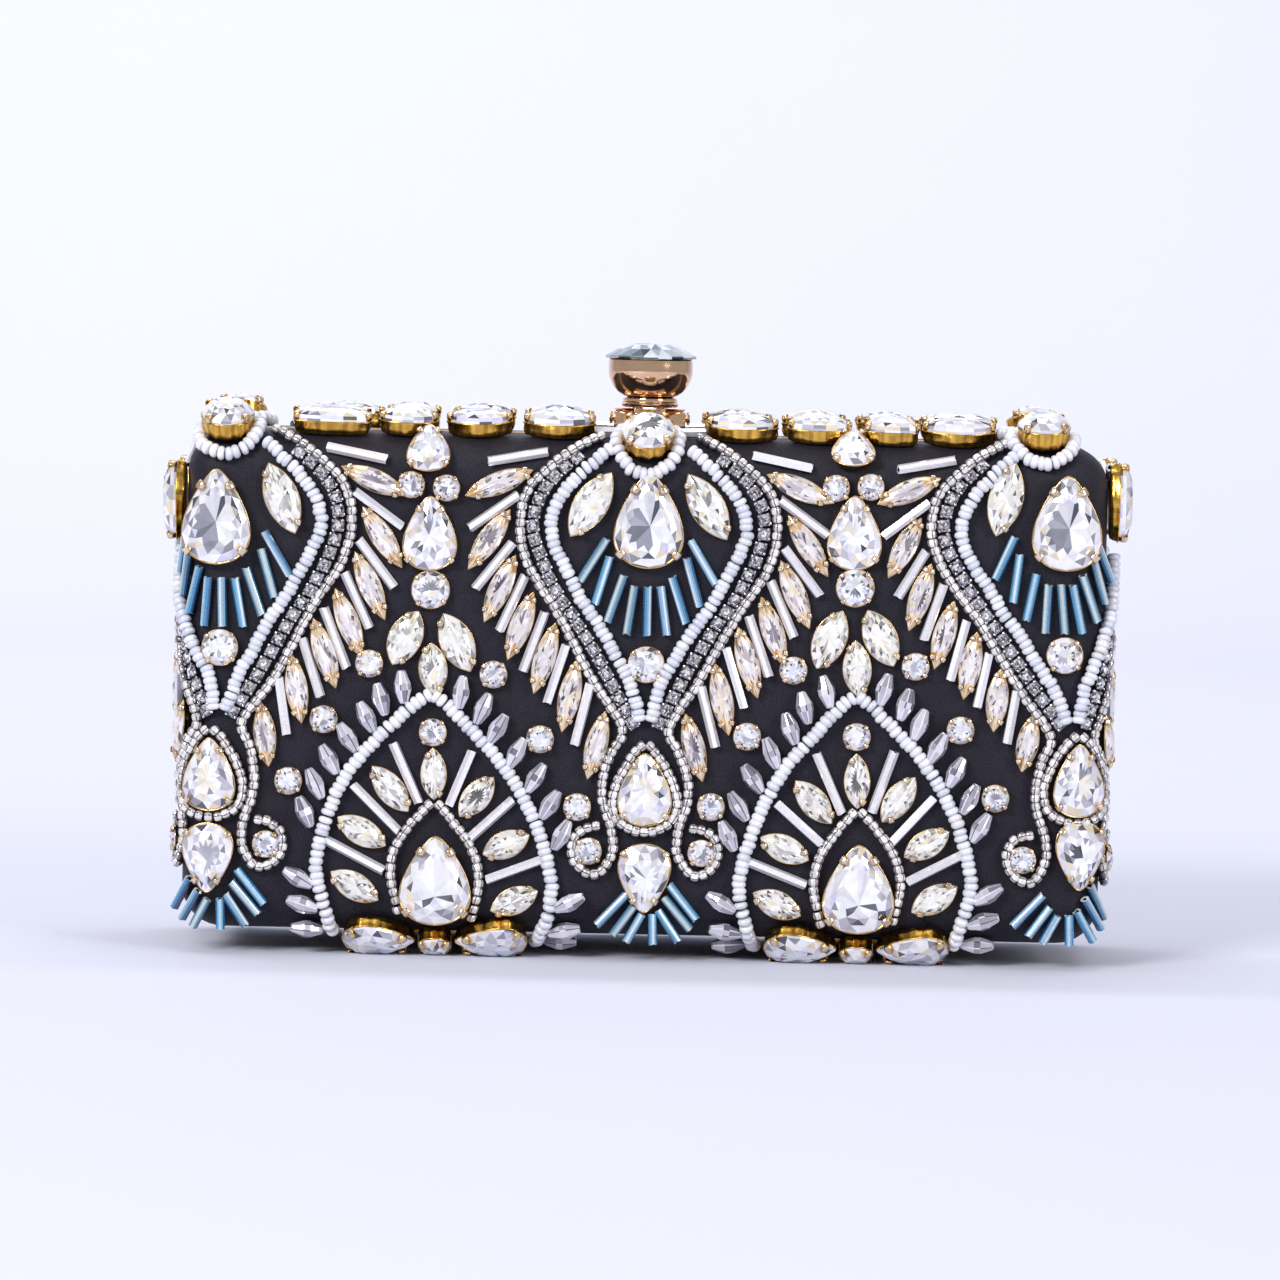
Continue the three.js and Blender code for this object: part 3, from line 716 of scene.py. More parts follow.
@dataclass
class Setting:
    """How one kind of stone is set: cup and crown heights, claws, gold, colours and the cut of the glass."""

    kind: str
    outline: object
    cup: float
    crown: float
    claws: tuple = SIDE_CLAWS
    palettes: tuple = CLEAR_PALETTES
    gold: tuple = PALE_GOLD
    claw_size: float = 0.8
    belt: float = 0.35
    table: float = 0.55
    rise: float = 0.05
    ribs: int = 0
    tips: dict = None
    fineness: int = 16
    panes: tuple = None
    heart: tuple = None

    def glass(self, size, rng):
        outline = self.outline(*size, self.fineness)
        return cut_stone(outline, self.cup, self.crown, rng, self.belt, self.palettes, self.table, self.panes,
                         self.tips, self.heart)

    def metal(self, size):
        outline = self.outline(*size, CUP_FINENESS)
        return claw_cup(outline, self.cup, self.claws, self.gold, self.claw_size, self.ribs, self.belt)

    def put(self, half, u, v, size, heading=(0, 1), tilt=0.03):
        """Sets a stone, its cup and its glass tipped alike."""
        glass, metal = Shape(), self.metal(size)
        glass.add(self.glass(size, half.rng), (np.zeros(3), np.eye(3)))
        lean = half.rng.uniform(-tilt, tilt, 2)
        half.put(self.kind, glass, u, v, self.rise, heading, lean)
        half.put("claw_cups", metal, u, v, self.rise, heading, lean)


WING_SETTING = Setting("navettes", navette, 1.3, 1.4, palettes=NAVETTE_PALETTES, claw_size=0.7,
                       tips=TIP_GOLD_REFLECTIONS, fineness=20)
NAVETTE_SETTING = Setting("navettes", navette, 1.3, 1.4, (0.11, 0.61), palettes=PALE_PALETTES, claw_size=0.85,
                          fineness=20)
ROUND_SETTING = Setting("round_stones", oval, 1.5, 1.4, ROUND_CLAWS, claw_size=0.62)
PEAR_SETTING = Setting("pear_stones", pear, 1.7, 1.5, PEAR_CLAWS, claw_size=0.85)


def navette_between(half, start, end, width, setting=NAVETTE_SETTING):
    (u, v), heading, length = span(start, end)
    setting.put(half, u, v, (width, length), heading)


def round_stone(half, u, v, diameter):
    ROUND_SETTING.put(half, u, v, (diameter, diameter))


def pear_stone(half, u, v, size, heading=(0, 1)):
    PEAR_SETTING.put(half, u, v, size, heading)


# ---------------------------------------------------------------- the pattern

# Places are (distance from the figure's centre line, height). A pair of places is a bead's or stone's ends.
TEARDROP_WHITE = (
    (8.5, 110), (12.5, 107), (15.2, 104.9), (18.5, 101.2), (20.5, 97), (21.1, 93.5), (20.2, 90),
    (18.4, 86), (16, 81.5), (13.5, 77), (10.3, 72.6), (7.5, 67.8), (5.3, 64), (3.3, 60.5), (1.1, 52),
)
TEARDROP_CHAIN = (
    (14.7, 109), (19.9, 105.2), (23.4, 100.6), (24.9, 94.8), (23.8, 89), (19.7, 80), (14.3, 71.9),
    (9.4, 63.8), (2.2, 50.5),
)
TEARDROP_CLEAR = (
    (10, 112.3), (20.3, 107.3), (25.9, 102), (27.7, 94), (25.7, 85.2), (19.5, 75.5), (11.1, 60.3),
)
SCROLL = (
    (5, 50.6), (7, 46), (8.8, 41.3), (9.4, 37.3), (8.8, 33.4), (7.4, 29.7), (6.8, 25.4), (7.4, 22.6),
    (9.6, 19.4), (12, 19), (14.8, 21), (15.8, 24.3), (15, 27), (12.6, 28.9), (9.6, 29.3),
)
BLUE_FAN = (
    ((9, 91.3), (14.6, 82.1)), ((8.3, 87.5), (11.3, 77.2)), ((5.2, 83.4), (8.5, 73.4)),
    ((2.8, 81.2), (4.3, 70.8)),
)
BLUE_FAN_CENTRE = ((0, 81.2), (0, 70.7))
FOOT_FAN = (
    ((-4.2, 14.6), (-10.6, 7.8)), ((-2.7, 12), (-7.2, 5.7)), ((-0.9, 10.3), (-4.2, 4.2)),
    ((1.4, 10.4), (1.6, 3.9)), ((2.5, 11.3), (7, 4.7)), ((3.8, 14.1), (9.6, 7.3)),
    ((4.9, 16.9), (10.9, 9.5)),
)
WING_NAVETTES = (
    ((25.2, 105.8), (39.6, 100)), ((29.9, 97.2), (38.7, 84.2)), ((28.5, 87.4), (35, 72.9)),
    ((24.5, 79.5), (29.8, 64.8)), ((19.6, 72.9), (24.1, 57.7)), ((14.8, 65), (18, 49.5)),
    ((8.6, 54), (12.4, 39.4)),
)
WING_BUGLES = (
    ((22, 109.3), (34.8, 106.9)), ((28.1, 100.5), (38.6, 93)), ((29.2, 90.1), (37.1, 80)),
    ((26.4, 83), (31.7, 71)), ((21.9, 75.3), (26.5, 62.4)), ((17.2, 68.4), (21.2, 55.6)),
    ((11.9, 59.9), (15.2, 46.7)),
)
WING_NAVETTE_WIDTH = 4.8
TEARDROP_NAVETTE_WIDTH = 7.4

# How far from the frame the middle of a wing's stone or bead has to stay.
NAVETTE_MARGIN = 4.5
BUGLE_MARGIN = 4.0

# The strands that wrap round an end start below its side stone.
OUTER_START = 91.0

# How the three teardrops of a half differ: the sewn rows sit a little differently at each end of the bag.
TEARDROPS = {
    -1: {
        "bend": ((38, -0.7), (58, 1.9), (80, 1.0), (110, 1.3)), "lift": ((18, 2.5), (62, 0)),
        "spreads": (0.86, 1.0),
    },
    0: {"bend": ((20, 0.6), (60, 0))},
    1: {
        "bend": ((20, 4.0), (40, 3.4), (58, 1.7), (66, 0.6), (80, -0.4), (92, -2.4), (106, -3.2)),
        "lift": ((18, 6.8), (62, 0)), "spreads": (0.96, 0.84),
    },
}
TEARDROP_ROUND = {-1: (0.9, 66.2), 0: (0.0, 64.4), 1: (0.2, 68.3)}
TEARDROP_NAVETTES = {
    -1: ((9.5, 106.1), (15.6, 91.1)), 0: ((8.3, 105.5), (16.8, 91.7)), 1: ((8.6, 109.2), (13.3, 93.7)),
}
BLUE_FAN_LIFT = {-1: 0.0, 0: 0.0, 1: 2.2}
FOOT_FAN_SHIFT = {-1: (0.4, 1.4), 0: (1.1, 0), 1: (1.0, 1.6)}

# The stones down a teardrop's centre line, and the rounds inside its scrolls.
TEARDROP_ROUND_SIZE = 7.8
UPPER_DROP = {"z": 37.4, "size": (11.6, 15.7)}
UPPER_RING = {"size": (14.2, 18.9), "rise": 0.2}
LOWER_DROP = {"z": 18.2, "size": (11.4, 14.9)}
SCROLL_ROUND = {"place": (12.2, 23.9), "size": 5.8}


def drop_pears(motif, clear):
    """The round, the ringed pear, the turned pear and the scroll rounds down a teardrop's centre line."""
    half = motif.half
    across, z = TEARDROP_ROUND[motif.outer]
    round_stone(half, motif.centre + across, unrolled(z), TEARDROP_ROUND_SIZE)
    u, v = motif.at(0, 0, UPPER_DROP["z"])
    pear_stone(half, u, v, UPPER_DROP["size"])
    ring = pear(*UPPER_RING["size"], 24)
    string_clear(half, [(u + x, v + y + UPPER_RING["rise"]) for x, y in (*ring, ring[0])], clear)
    u, v = motif.at(0, 0, LOWER_DROP["z"])
    pear_stone(half, u, v, LOWER_DROP["size"], (0, -1))
    for mirror in (-1, 1):
        round_stone(half, *motif.at(mirror, *SCROLL_ROUND["place"], False), SCROLL_ROUND["size"])


def foot_bugle(half, start, end):
    """A blue bugle that hangs straight down past the rounded bottom edge."""
    (u, z), heading, length = span(start, end)
    shape, height = bugle_shape(half, "blue_bugles", length)
    seated = max(z, CORE_BOTTOM)
    origin, axes = half.seat(u, seated, height, heading)
    half.batch("blue_bugles").add(shape, (origin + np.array([0, 0, z - seated]), axes))


def raised(points, lift):
    return [(across, z + lift) for across, z in points]


def teardrop(motif, strings):
    half = motif.half
    for mirror in (-1, 1):
        highest = OUTER_START if mirror == motif.outer else TOP + EDGE
        white, chain, clear = (
            motif.line(mirror, [(across, z) for across, z in path if z < highest])
            for path in (TEARDROP_WHITE, TEARDROP_CHAIN, TEARDROP_CLEAR)
        )
        strings["discs"].string(half, white)
        string_chain(half, chain, strings["chain"])
        string_clear(half, clear + motif.line(mirror, SCROLL, False), strings["clear"])
        if mirror != motif.outer:
            ends = motif.line(mirror, TEARDROP_NAVETTES[motif.outer])
            navette_between(half, *ends, TEARDROP_NAVETTE_WIDTH)
        for ends in BLUE_FAN:
            bugle(half, "blue_bugles", *motif.line(mirror, raised(ends, BLUE_FAN_LIFT[motif.outer])))
    bugle(half, "blue_bugles", *motif.line(1, raised(BLUE_FAN_CENTRE, BLUE_FAN_LIFT[motif.outer])))
    shift, lift = FOOT_FAN_SHIFT[motif.outer]
    for ends in FOOT_FAN:
        foot_bugle(half, *((motif.centre + shift + across, z) for across, z in raised(ends, lift)))
    drop_pears(motif, strings["clear"])


def wings(motif):
    """The navettes and white bugles that spread from both sides of a teardrop."""
    half = motif.half
    for mirror in (-1, 1):
        for ends in WING_NAVETTES:
            line = motif.line(mirror, ends)
            if clear_of_frame(span(*line)[0][0], NAVETTE_MARGIN):
                navette_between(half, *line, WING_NAVETTE_WIDTH, WING_SETTING)
        for ends in WING_BUGLES:
            line = motif.line(mirror, ends)
            if clear_of_frame(span(*line)[0][0], BUGLE_MARGIN):
                bugle(half, "white_bugles", *line)


ARCH_WHITE = (
    (0.3, 57), (3.3, 55), (8.6, 50), (14, 44.5), (18.5, 38.5), (21.7, 32.5), (23.7, 27), (25, 22.5),
    (25.7, 18), (25.3, 13.9), (24, 9.8), (22, 4.7),
)
ARCH_CLEAR = ((0.4, 33.8), (3, 31), (6.4, 26.9), (8.7, 22.9), (9.6, 18.5), (9.2, 14.4), (7.8, 9.3))
ARCH_BUGLES = (((8.6, 45.6), (3.3, 33.3)), ((17.5, 35.9), (7.8, 26.7)), ((23.6, 23.4), (11.2, 17.9)))
ARCH_NAVETTES = (((13.2, 40.3), (5.6, 31.2)), ((20.9, 28.6), (10.6, 23.4)), ((22.6, 16.6), (12.3, 11.4)))
ARCH_NAVETTE_WIDTH = 5.9

# Lantern beads as (distance, height, lean in degrees), and round stones as (distance, height, diameter).
LANTERNS = (
    (6.4, 58.1, 10), (11.1, 55, 18), (14.3, 50.9, 25), (18.4, 46.1, 28), (22.5, 41, 30),
    (25.6, 35.5, 28), (28, 29.2, 24), (29.6, 14.7, 60), (28.6, 9.4, 70), (27.7, 4.9, 85),
)
LANTERN_SWAY = 6
ARCH_ROUNDS = ((3.8, 101.3, 5.7), (13.5, 62.5, 5.9), (23.6, 49.5, 5.9), (31.5, 35.5, 5.9))

# A navette on each side above an arch, and the stones on its centre line.
ARCH_SIDE_NAVETTE = ((2.8, 74.7), (8.5, 62.7), 7.2)
ARCH_CENTRE_ROUNDS = ((48.8, 5.9), (79.6, 8.2))
ARCH_CENTRE_NAVETTES = (((0, 45.4), (0, 34.2), 5.6), ((0, 68.2), (0.5, 56.8), 6.2))
ARCH_CENTRE_PEARS = ((108.6, (9.3, 11.4)), (91.5, (11.6, 15.9)))

# How the two arches of a half differ.
ARCH_BEND = ((17, 0), (110, -3.2))
ARCHES = {
    -1: {"bend": ARCH_BEND, "lift": ((80, 0), (105, 0.6)), "tilt": -0.07, "spreads": (1.0, 0.98)},
    1: {
        "bend": ARCH_BEND, "lift": ((35, 0), (50, 1.0), (66, 2.3), (110, 2.1)), "tilt": 0.05,
        "spreads": (1.0, 0.945),
    },
}


def arch(motif, strings):
    half = motif.half

    def navettes(mirror, rows):
        for start, end, width in rows:
            navette_between(half, *motif.line(mirror, (start, end)), width)

    for mirror in (-1, 1):
        strings["rounds"].string(half, motif.line(mirror, ARCH_WHITE))
        string_clear(half, motif.line(mirror, ARCH_CLEAR), strings["clear"])
        for ends in ARCH_BUGLES:
            bugle(half, "white_bugles", *motif.line(mirror, ends))
        navettes(mirror, [(*ends, ARCH_NAVETTE_WIDTH) for ends in ARCH_NAVETTES])
        for across, z, lean in LANTERNS:
            lean = math.radians(lean + half.rng.uniform(-LANTERN_SWAY, LANTERN_SWAY))
            lantern(half, *motif.at(mirror, across, z), (mirror * math.sin(lean), math.cos(lean)))
        for across, z, diameter in ARCH_ROUNDS:
            round_stone(half, *motif.at(mirror, across, z), diameter)
        navettes(mirror, [ARCH_SIDE_NAVETTE])
    for z, diameter in ARCH_CENTRE_ROUNDS:
        round_stone(half, *motif.at(0, 0, z), diameter)
    navettes(1, ARCH_CENTRE_NAVETTES)
    for z, size in ARCH_CENTRE_PEARS:
        pear_stone(half, *motif.at(0, 0, z), size)


TOP_STONES = (
    (-76.9, -60.1, baguette), (-58.4, -45.9, oval), (-43.7, -29.5, navette), (-27.2, -11.6, navette),
    (12.3, 27.8, navette), (29.7, 43.5, oval), (46.5, 58, baguette), (58.8, 74.8, navette),
)
TOP_STONE_WIDTH = 6.6
TOP_CLAWS = (0.07, 0.43, 0.57, 0.93)
CROWN_RING_RADIUS = 6.7

# The short bugles beside the crown ring: how far out their middles are, their half length and their height.
RING_BUGLE = {"across": 9.6, "reach": 3, "rise": 12.4}


def top_row(half, crown_centre):
    """Stones lying along the top edge in ribbed cups, and a short bugle on each side of the crown ring."""
    for start, end, outline in TOP_STONES:
        setting = Setting("top_edge_stones", outline, claws=TOP_CLAWS, gold=YELLOW_GOLD, claw_size=0.75,
                          ribs=11, **TOP_STONE)
        along = (1, 0) if half.rng.uniform() < 0.5 else (-1, 0)
        size = (TOP_STONE_WIDTH, end - start)
        setting.put(half, (start + end) / 2, CORE_TOP + EDGE * TOP_STONE_LEAN, size, along)
    v = CORE_TOP + RING_BUGLE["rise"]
    for mirror in (-1, 1):
        middle = crown_centre + mirror * RING_BUGLE["across"]
        bugle(half, "white_bugles", (middle - RING_BUGLE["reach"], v), (middle + RING_BUGLE["reach"], v))


def crown_ring(half, centre, lean, seeds):
    """Seed beads round the foot of a crown stone."""
    turns = np.linspace(0, 2 * math.pi, 25)
    middle = CORE_TOP + EDGE * lean
    ring = np.column_stack([np.sin(turns), np.cos(turns)]) * CROWN_RING_RADIUS + (centre, middle)
    seeds.string(half, ring)


# ---------------------------------------------------------------- materials

class Finish:
    """A material's node tree, with a short way to set, add and join nodes."""

    def __init__(self, name, sockets):
        self.material = bpy.data.materials.new(name)
        self.material.use_nodes = True
        self.tree = self.material.node_tree
        self.surface = self.tree.nodes["Principled BSDF"]
        self.set(self.surface, sockets)

    def set(self, node, sockets):
        for key, value in sockets.items():
            if isinstance(value, bpy.types.NodeSocket):
                self.tree.links.new(value, node.inputs[key])
            else:
                node.inputs[key].default_value = value

    def node(self, kind, sockets=None, **properties):
        node = self.tree.nodes.new("ShaderNode" + kind)
        for key, value in properties.items():
            setattr(node, key, value)
        self.set(node, sockets or {})
        return node.outputs

    def math(self, operation, first, second):
        return self.node("Math", {0: first, 1: second}, operation=operation)["Value"]

    def place(self):
        return self.node("TexCoord")["Object"]

    def noise(self, scale, detail=3.0, vector=None):
        sockets = {"Vector": vector or self.place(), "Scale": scale, "Detail": detail}
        return self.node("TexNoise", sockets)["Fac"]

    def span(self, value, low, high, start=0.3, end=0.7):
        """Maps noise to a range."""
        return self.node("MapRange", {0: value, 1: start, 2: end, 3: low, 4: high})["Result"]

    def blend(self, share, first, second, blend_type="MIX"):
        sockets = {0: share, 6: first, 7: second}
        return self.node("Mix", sockets, data_type="RGBA", blend_type=blend_type)[2]

    def bump(self, height, distance, strength=1.0):
        sockets = {"Height": height, "Distance": distance, "Strength": strength}
        self.set(self.surface, {"Normal": self.node("Bump", sockets)["Normal"]})

    def stained(self, share, code):
        """The piece's own colour, darkened by a share of a stain."""
        paint = self.node("Attribute", attribute_name="paint")["Color"]
        return self.blend(share, paint, opaque(code), "MULTIPLY")


def opaque(code):
    return (*rgb(code), 1.0)


def cloth(name, dark, light, thread_mm, sheen, roughness):
    """Satin: warp and weft threads in bump, a little unevenness in colour, and a soft sheen."""
    finish = Finish(name, {
        "Sheen Weight": sheen, "Sheen Roughness": 0.35, "Sheen Tint": opaque("b9b4d4"),
        "Specular IOR Level": 0.22,
    })
    x, y, z = finish.node("SeparateXYZ", {"Vector": finish.place()})
    crosswise = finish.math("ADD", x, y)
    upright = finish.math("ADD", z, y)
    scale = 0.314 / (thread_mm * MM)
    threads = []
    for first, second in ((crosswise, upright), (upright, crosswise)):
        vector = finish.node("CombineXYZ", {"X": first, "Y": second})["Vector"]
        sockets = {"Vector": vector, "Scale": scale, "Distortion": 0.6, "Detail": 1.0}
        threads.append(finish.node("TexWave", sockets, bands_direction="X")["Fac"])
    weave = finish.math("MAXIMUM", threads[0], finish.math("MULTIPLY", threads[1], 0.7))
    patches = finish.noise(140.0, 4.0)
    specks = finish.span(finish.noise(2600.0, 2.0), 0.0, 1.0, 0.42, 0.62)
    share = finish.math("MULTIPLY", finish.math("ADD", patches, specks), 0.5)
    share = finish.math("MULTIPLY", share, finish.span(weave, 0.6, 1.0, 0.0, 1.0))
    finish.set(finish.surface, {
        "Base Color": finish.blend(share, opaque(dark), opaque(light)),
        "Roughness": finish.span(weave, roughness - 0.08, roughness + 0.1, 0.0, 1.0),
    })
    finish.bump(finish.math("ADD", weave, finish.math("MULTIPLY", patches, 0.8)), 0.00006, 0.7)
    return finish.material


def plated(name, roughness, wear):
    """Polished plate: its colour comes from the piece, with faint tarnish and fine scratches."""
    finish = Finish(name, {"Metallic": 1.0})
    stretched = finish.node("Mapping", {"Vector": finish.place(), "Scale": (1.0, 6.0, 1.5)})["Vector"]
    scratches = finish.noise(1800.0, 2.0, stretched)
    tarnish = finish.noise(420.0, 3.0)
    finish.set(finish.surface, {
        "Base Color": finish.stained(finish.span(tarnish, 0.0, wear, 0.4, 0.75), "7a5326"),
        "Roughness": finish.span(scratches, roughness * 0.7, roughness * 1.4),
    })
    finish.bump(scratches, 0.00001, 0.4)
    return finish.material


def glass_facets(name, metallic, roughness):
    """Foil-backed glass: each facet shows its painted glint or reflection colour, under a clear bright
    surface.
    """
    finish = Finish(name, {
        "Metallic": metallic, "Specular IOR Level": 0.8, "Coat Weight": 1.0, "Coat Roughness": 0.02,
        "IOR": 1.6,
    })
    smudge = finish.noise(900.0, 2.0)
    depth = finish.span(finish.noise(500.0, 1.0), 0.0, 0.16, 0.45, 0.7)
    finish.set(finish.surface, {
        "Base Color": finish.stained(depth, "9a98a6"),
        "Roughness": finish.span(smudge, roughness * 0.5, roughness * 1.5),
    })
    return finish.material


def grained(name, sockets, scale, detail, colour, roughness, bump=None):
    """One grain in a material's colour, its gloss and its surface.

    colour is two hex codes to blend, or how strongly a hex code stains the piece's own colour.
    """
    finish = Finish(name, sockets)
    grain = finish.noise(scale, detail)
    first, second = colour
    if isinstance(first, str):
        base = finish.blend(grain, opaque(first), opaque(second))
    else:
        base = finish.stained(finish.span(grain, 0.0, first), second)
    finish.set(finish.surface, {"Base Color": base, "Roughness": finish.span(grain, *roughness)})
    if bump:
        finish.bump(grain, *bump)
    return finish.material


# Milky seed beads: soft, a little see-through, with a clear glaze.
PEARL = {
    "Subsurface Weight": 0.25, "Subsurface Radius": (0.4, 0.4, 0.5), "Subsurface Scale": 0.001,
    "Coat Weight": 0.6, "Coat Roughness": 0.08, "Specular IOR Level": 0.6,
}
# Cut tubes with a silky lengthwise shine.
TUBES = {"Metallic": 0.25, "Coat Weight": 0.8, "Coat Roughness": 0.06, "Specular IOR Level": 0.7}


# ---------------------------------------------------------------- pieces

def piece(name, shape, body, material, replaced=(), crease=None):
    """Makes a shape into an object that rides on a body."""
    mesh = bpy.data.meshes.new(name)
    mesh.from_pydata(shape.points() * MM, [], shape.faces)
    mesh.materials.append(material)
    mesh.polygons.foreach_set("use_smooth", shape.smooth)
    sizes = [len(face) for face in shape.faces]
    colours = np.ones((sum(sizes), 4), np.float32)
    colours[:, :3] = np.repeat(np.asarray(shape.paint, np.float32), sizes, axis=0)
    mesh.color_attributes.new("paint", "FLOAT_COLOR", "CORNER").data.foreach_set("color", colours.ravel())
    return settle(name, mesh, body, replaced, crease)


def settle(name, mesh, body, replaced, crease):
    """Turns faces out, marks sharp edges and puts the mesh on its body."""
    if crease is not None:
        form = bmesh.new()
        form.from_mesh(mesh)
        bmesh.ops.recalc_face_normals(form, faces=form.faces)
        form.to_mesh(mesh)
        form.free()
        mesh.shade_smooth()
        mesh.set_sharp_from_angle(angle=math.radians(crease))
    obj = bpy.data.objects.new(name, mesh)
    bpy.context.scene.collection.objects.link(obj)
    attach(obj, body)
    if replaced:
        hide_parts(*replaced)
    return obj


def refined(node, bevel, colour, material):
    """A copy of a CAD node with its edges rounded off, which stands for it."""
    source = frame["nodes"][node]
    mesh = source.data.copy()
    form = bmesh.new()
    form.from_mesh(mesh)
    bmesh.ops.remove_doubles(form, verts=form.verts, dist=0.005 * MM)
    bmesh.ops.dissolve_limit(form, angle_limit=math.radians(1.5), verts=form.verts, edges=form.edges)
    sharp = [edge for edge in form.edges if edge.is_manifold and edge.calc_face_angle(0.0) > math.radians(40)]
    bmesh.ops.bevel(form, geom=sharp, offset=bevel * MM, segments=2, profile=0.6, affect="EDGES",
                    clamp_overlap=True)
    form.to_mesh(mesh)
    form.free()
    mesh.materials.clear()
    mesh.materials.append(material)
    colours = np.tile(np.array([*colour, 1.0], np.float32), len(mesh.loops))
    mesh.color_attributes.new("paint", "FLOAT_COLOR", "CORNER").data.foreach_set("color", colours)
    return settle(node + "_finished", mesh, source["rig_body"], (node,), 34)


STRAIGHT_STEPS = (34, 20)
CORNER_STEPS = 9


def outline_ring(half, inset, depth, scale=1.0):
    """The body's outline moved in by inset, at a depth from the parting plane, with points on its sides."""
    radius = CORNER - inset
    middle = (TOP + BOTTOM) / 2
    reach = np.array([HALF_WIDTH - inset - radius, (TOP - BOTTOM) / 2 - inset - radius])
    corners = [(1, 1), (-1, 1), (-1, -1), (1, -1)]

    def rounded(corner, angle):
        return reach * corner + radius * np.array([math.cos(angle), math.sin(angle)])

    ring = []
    for k, corner in enumerate(corners):
        ring += [rounded(corner, (k + i / CORNER_STEPS) * math.pi / 2) for i in range(CORNER_STEPS + 1)]
        last, following = ring[-1], rounded(corners[(k + 1) % 4], (k + 1) * math.pi / 2)
        steps = STRAIGHT_STEPS[k % 2]
        ring += [last + (following - last) * i / steps for i in range(1, steps)]
    ring = np.array(ring) * scale
    return np.column_stack([ring[:, 0], np.full(len(ring), -depth), ring[:, 1] + middle]) * half.turn


def skin_rings(half, inset, face_inset, rim, ripple):
    """Rings of one surface of a tray: from its rim, round the edge, and in across its face."""
    radius = EDGE - face_inset
    face = FACE - face_inset
    rings = [outline_ring(half, inset, depth) for depth in np.linspace(rim, face - radius, 5)]
    for angle in np.linspace(0, math.pi / 2, 9)[1:]:
        across, deep = 1 - math.cos(angle), math.sin(angle) - 1
        rings.append(outline_ring(half, inset + radius * across, face + radius * deep))
    for scale in np.linspace(1, 0.05, 18)[1:]:
        rings.append(outline_ring(half, inset + radius, face, scale))
    for ring in rings[5:]:
        for point in ring:
            point[1] += ripple * half.turn[1] * noise.noise(Vector(point * 0.09))
    return rings


def tray(half, inset, thickness, face_inset, rim, ripple, colour):
    shape = Shape()
    outside = skin_rings(half, inset, face_inset, rim, ripple)
    inside = skin_rings(half, inset + thickness, face_inset + thickness, rim, ripple)
    rings = [shape.ring(ring) for ring in [*outside[::-1], *inside]]
    shape.face(rings[0], colour)
    for low, high in zip(rings, rings[1:]):
        shape.band(low, high, [colour])
    shape.face(rings[-1][::-1], colour)
    return shape


# The frame's section, as (inset from the body's outline, depth from the parting plane).
FRAME_SECTION = (
    (2.9, 0.15), (0.15, 0.15), (-0.08, 0.22), (-0.2, 0.45), (-0.2, 1.6), (-0.08, 1.83), (0.15, 1.9),
    (2.0, 1.9), (2.0, 4.2), (2.9, 4.2),
)


def frame_shape(half):
    shape = Shape()
    rings = [shape.ring(outline_ring(half, inset, depth)) for inset, depth in FRAME_SECTION]
    for low, high in zip(rings, rings[1:] + rings[:1]):
        shape.band(low, high, [PALE_GOLD])
    return shape


def body_coverings(half, satin, lining, gold):
    """Satin outside, lining inside and the gold frame round the opening."""
    name = half.name
    shape = tray(half, 0, SATIN_THICKNESS, 0, RIM, 0.12, rgb("26242e"))
    cover = piece(f"{name}_satin_cover", shape, name, satin, (f"{name}_satin",), 40)
    thickness = LINING["inner"] - LINING["outer"]
    shape = tray(half, LINING["outer"], thickness, LINING["face"], LINING["rim"], 0.25, rgb("2b2834"))
    inside = piece(f"{name}_lining_cloth", shape, name, lining, (f"{name}_lining",), 40)
    # The lining lies inside the shell.
    piece(f"{name}_frame_polished", frame_shape(half), name, gold, (f"{name}_frame",), 30)


# Painted reflections of the big facets seen through a big pear's table, as (share of the way round, hex).
PEAR_PANE_REFLECTIONS = (
    (0.0, "e2e0ea"), (0.1, "9d9da8"), (0.28, "7c7c88"), (0.4, "8f8f9a"), (0.52, "f3f2f5"), (0.72, "e9e7ec"),
    (0.8, "50505c"), (0.86, "dad8e4"),
)
BRIGHT_PANE_REFLECTIONS = (
    (0.0, "f4f3f6"), (0.2, "e9e8ee"), (0.36, "5b5b66"), (0.45, "dedce5"), (0.5, "f4f3f7"), (0.56, "565661"),
    (0.64, "f6f5f8"), (0.82, "e6e4ec"),
)
# Painted glints and reflections of a big pear's crown and table facets.
BIG_PALETTES = (CROWN_FACET_REFLECTIONS, {"f6f6f9": 44, "e6e5ec": 30, "cac9d2": 14, "8e8e9a": 5, "efe6d6": 4})
PEAR_PANES_AND_HEARTS = {"teardrop": (PEAR_PANE_REFLECTIONS, (0.02, -0.05)), "arch": (BRIGHT_PANE_REFLECTIONS, (0.0, -0.17))}
FACE_PEARS = {
    figure: Setting("big_pears", pear, 2.2, 1.8, PEAR_CLAWS, BIG_PALETTES, claw_size=1.2, belt=0.4,
                    table=0.66, rise=0.3, panes=panes, heart=heart)
    for figure, (panes, heart) in PEAR_PANES_AND_HEARTS.items()
}
CROWN_SETTING = Setting("crown_stones", oval, claws=ROUND_CLAWS, gold=YELLOW_GOLD, claw_size=0.9, ribs=12,
                        **CROWN_STONE)
SIDE_SETTING = Setting("side_stones", navette, claws=TOP_CLAWS, gold=YELLOW_GOLD, claw_size=0.85, rise=0.3,
                       ribs=9, **SIDE_STONE)
FOOT_SETTINGS = {
    "pear": Setting("foot_pears", pear, claws=PEAR_CLAWS, gold=YELLOW_GOLD, claw_size=1.0, rise=FOOT_RISE,
                    ribs=12, **FOOT_STONE),
    "oval": Setting("foot_ovals", oval, claws=ROUND_CLAWS, gold=YELLOW_GOLD, claw_size=0.9, rise=FOOT_RISE,
                    ribs=10, **FOOT_STONE),
}

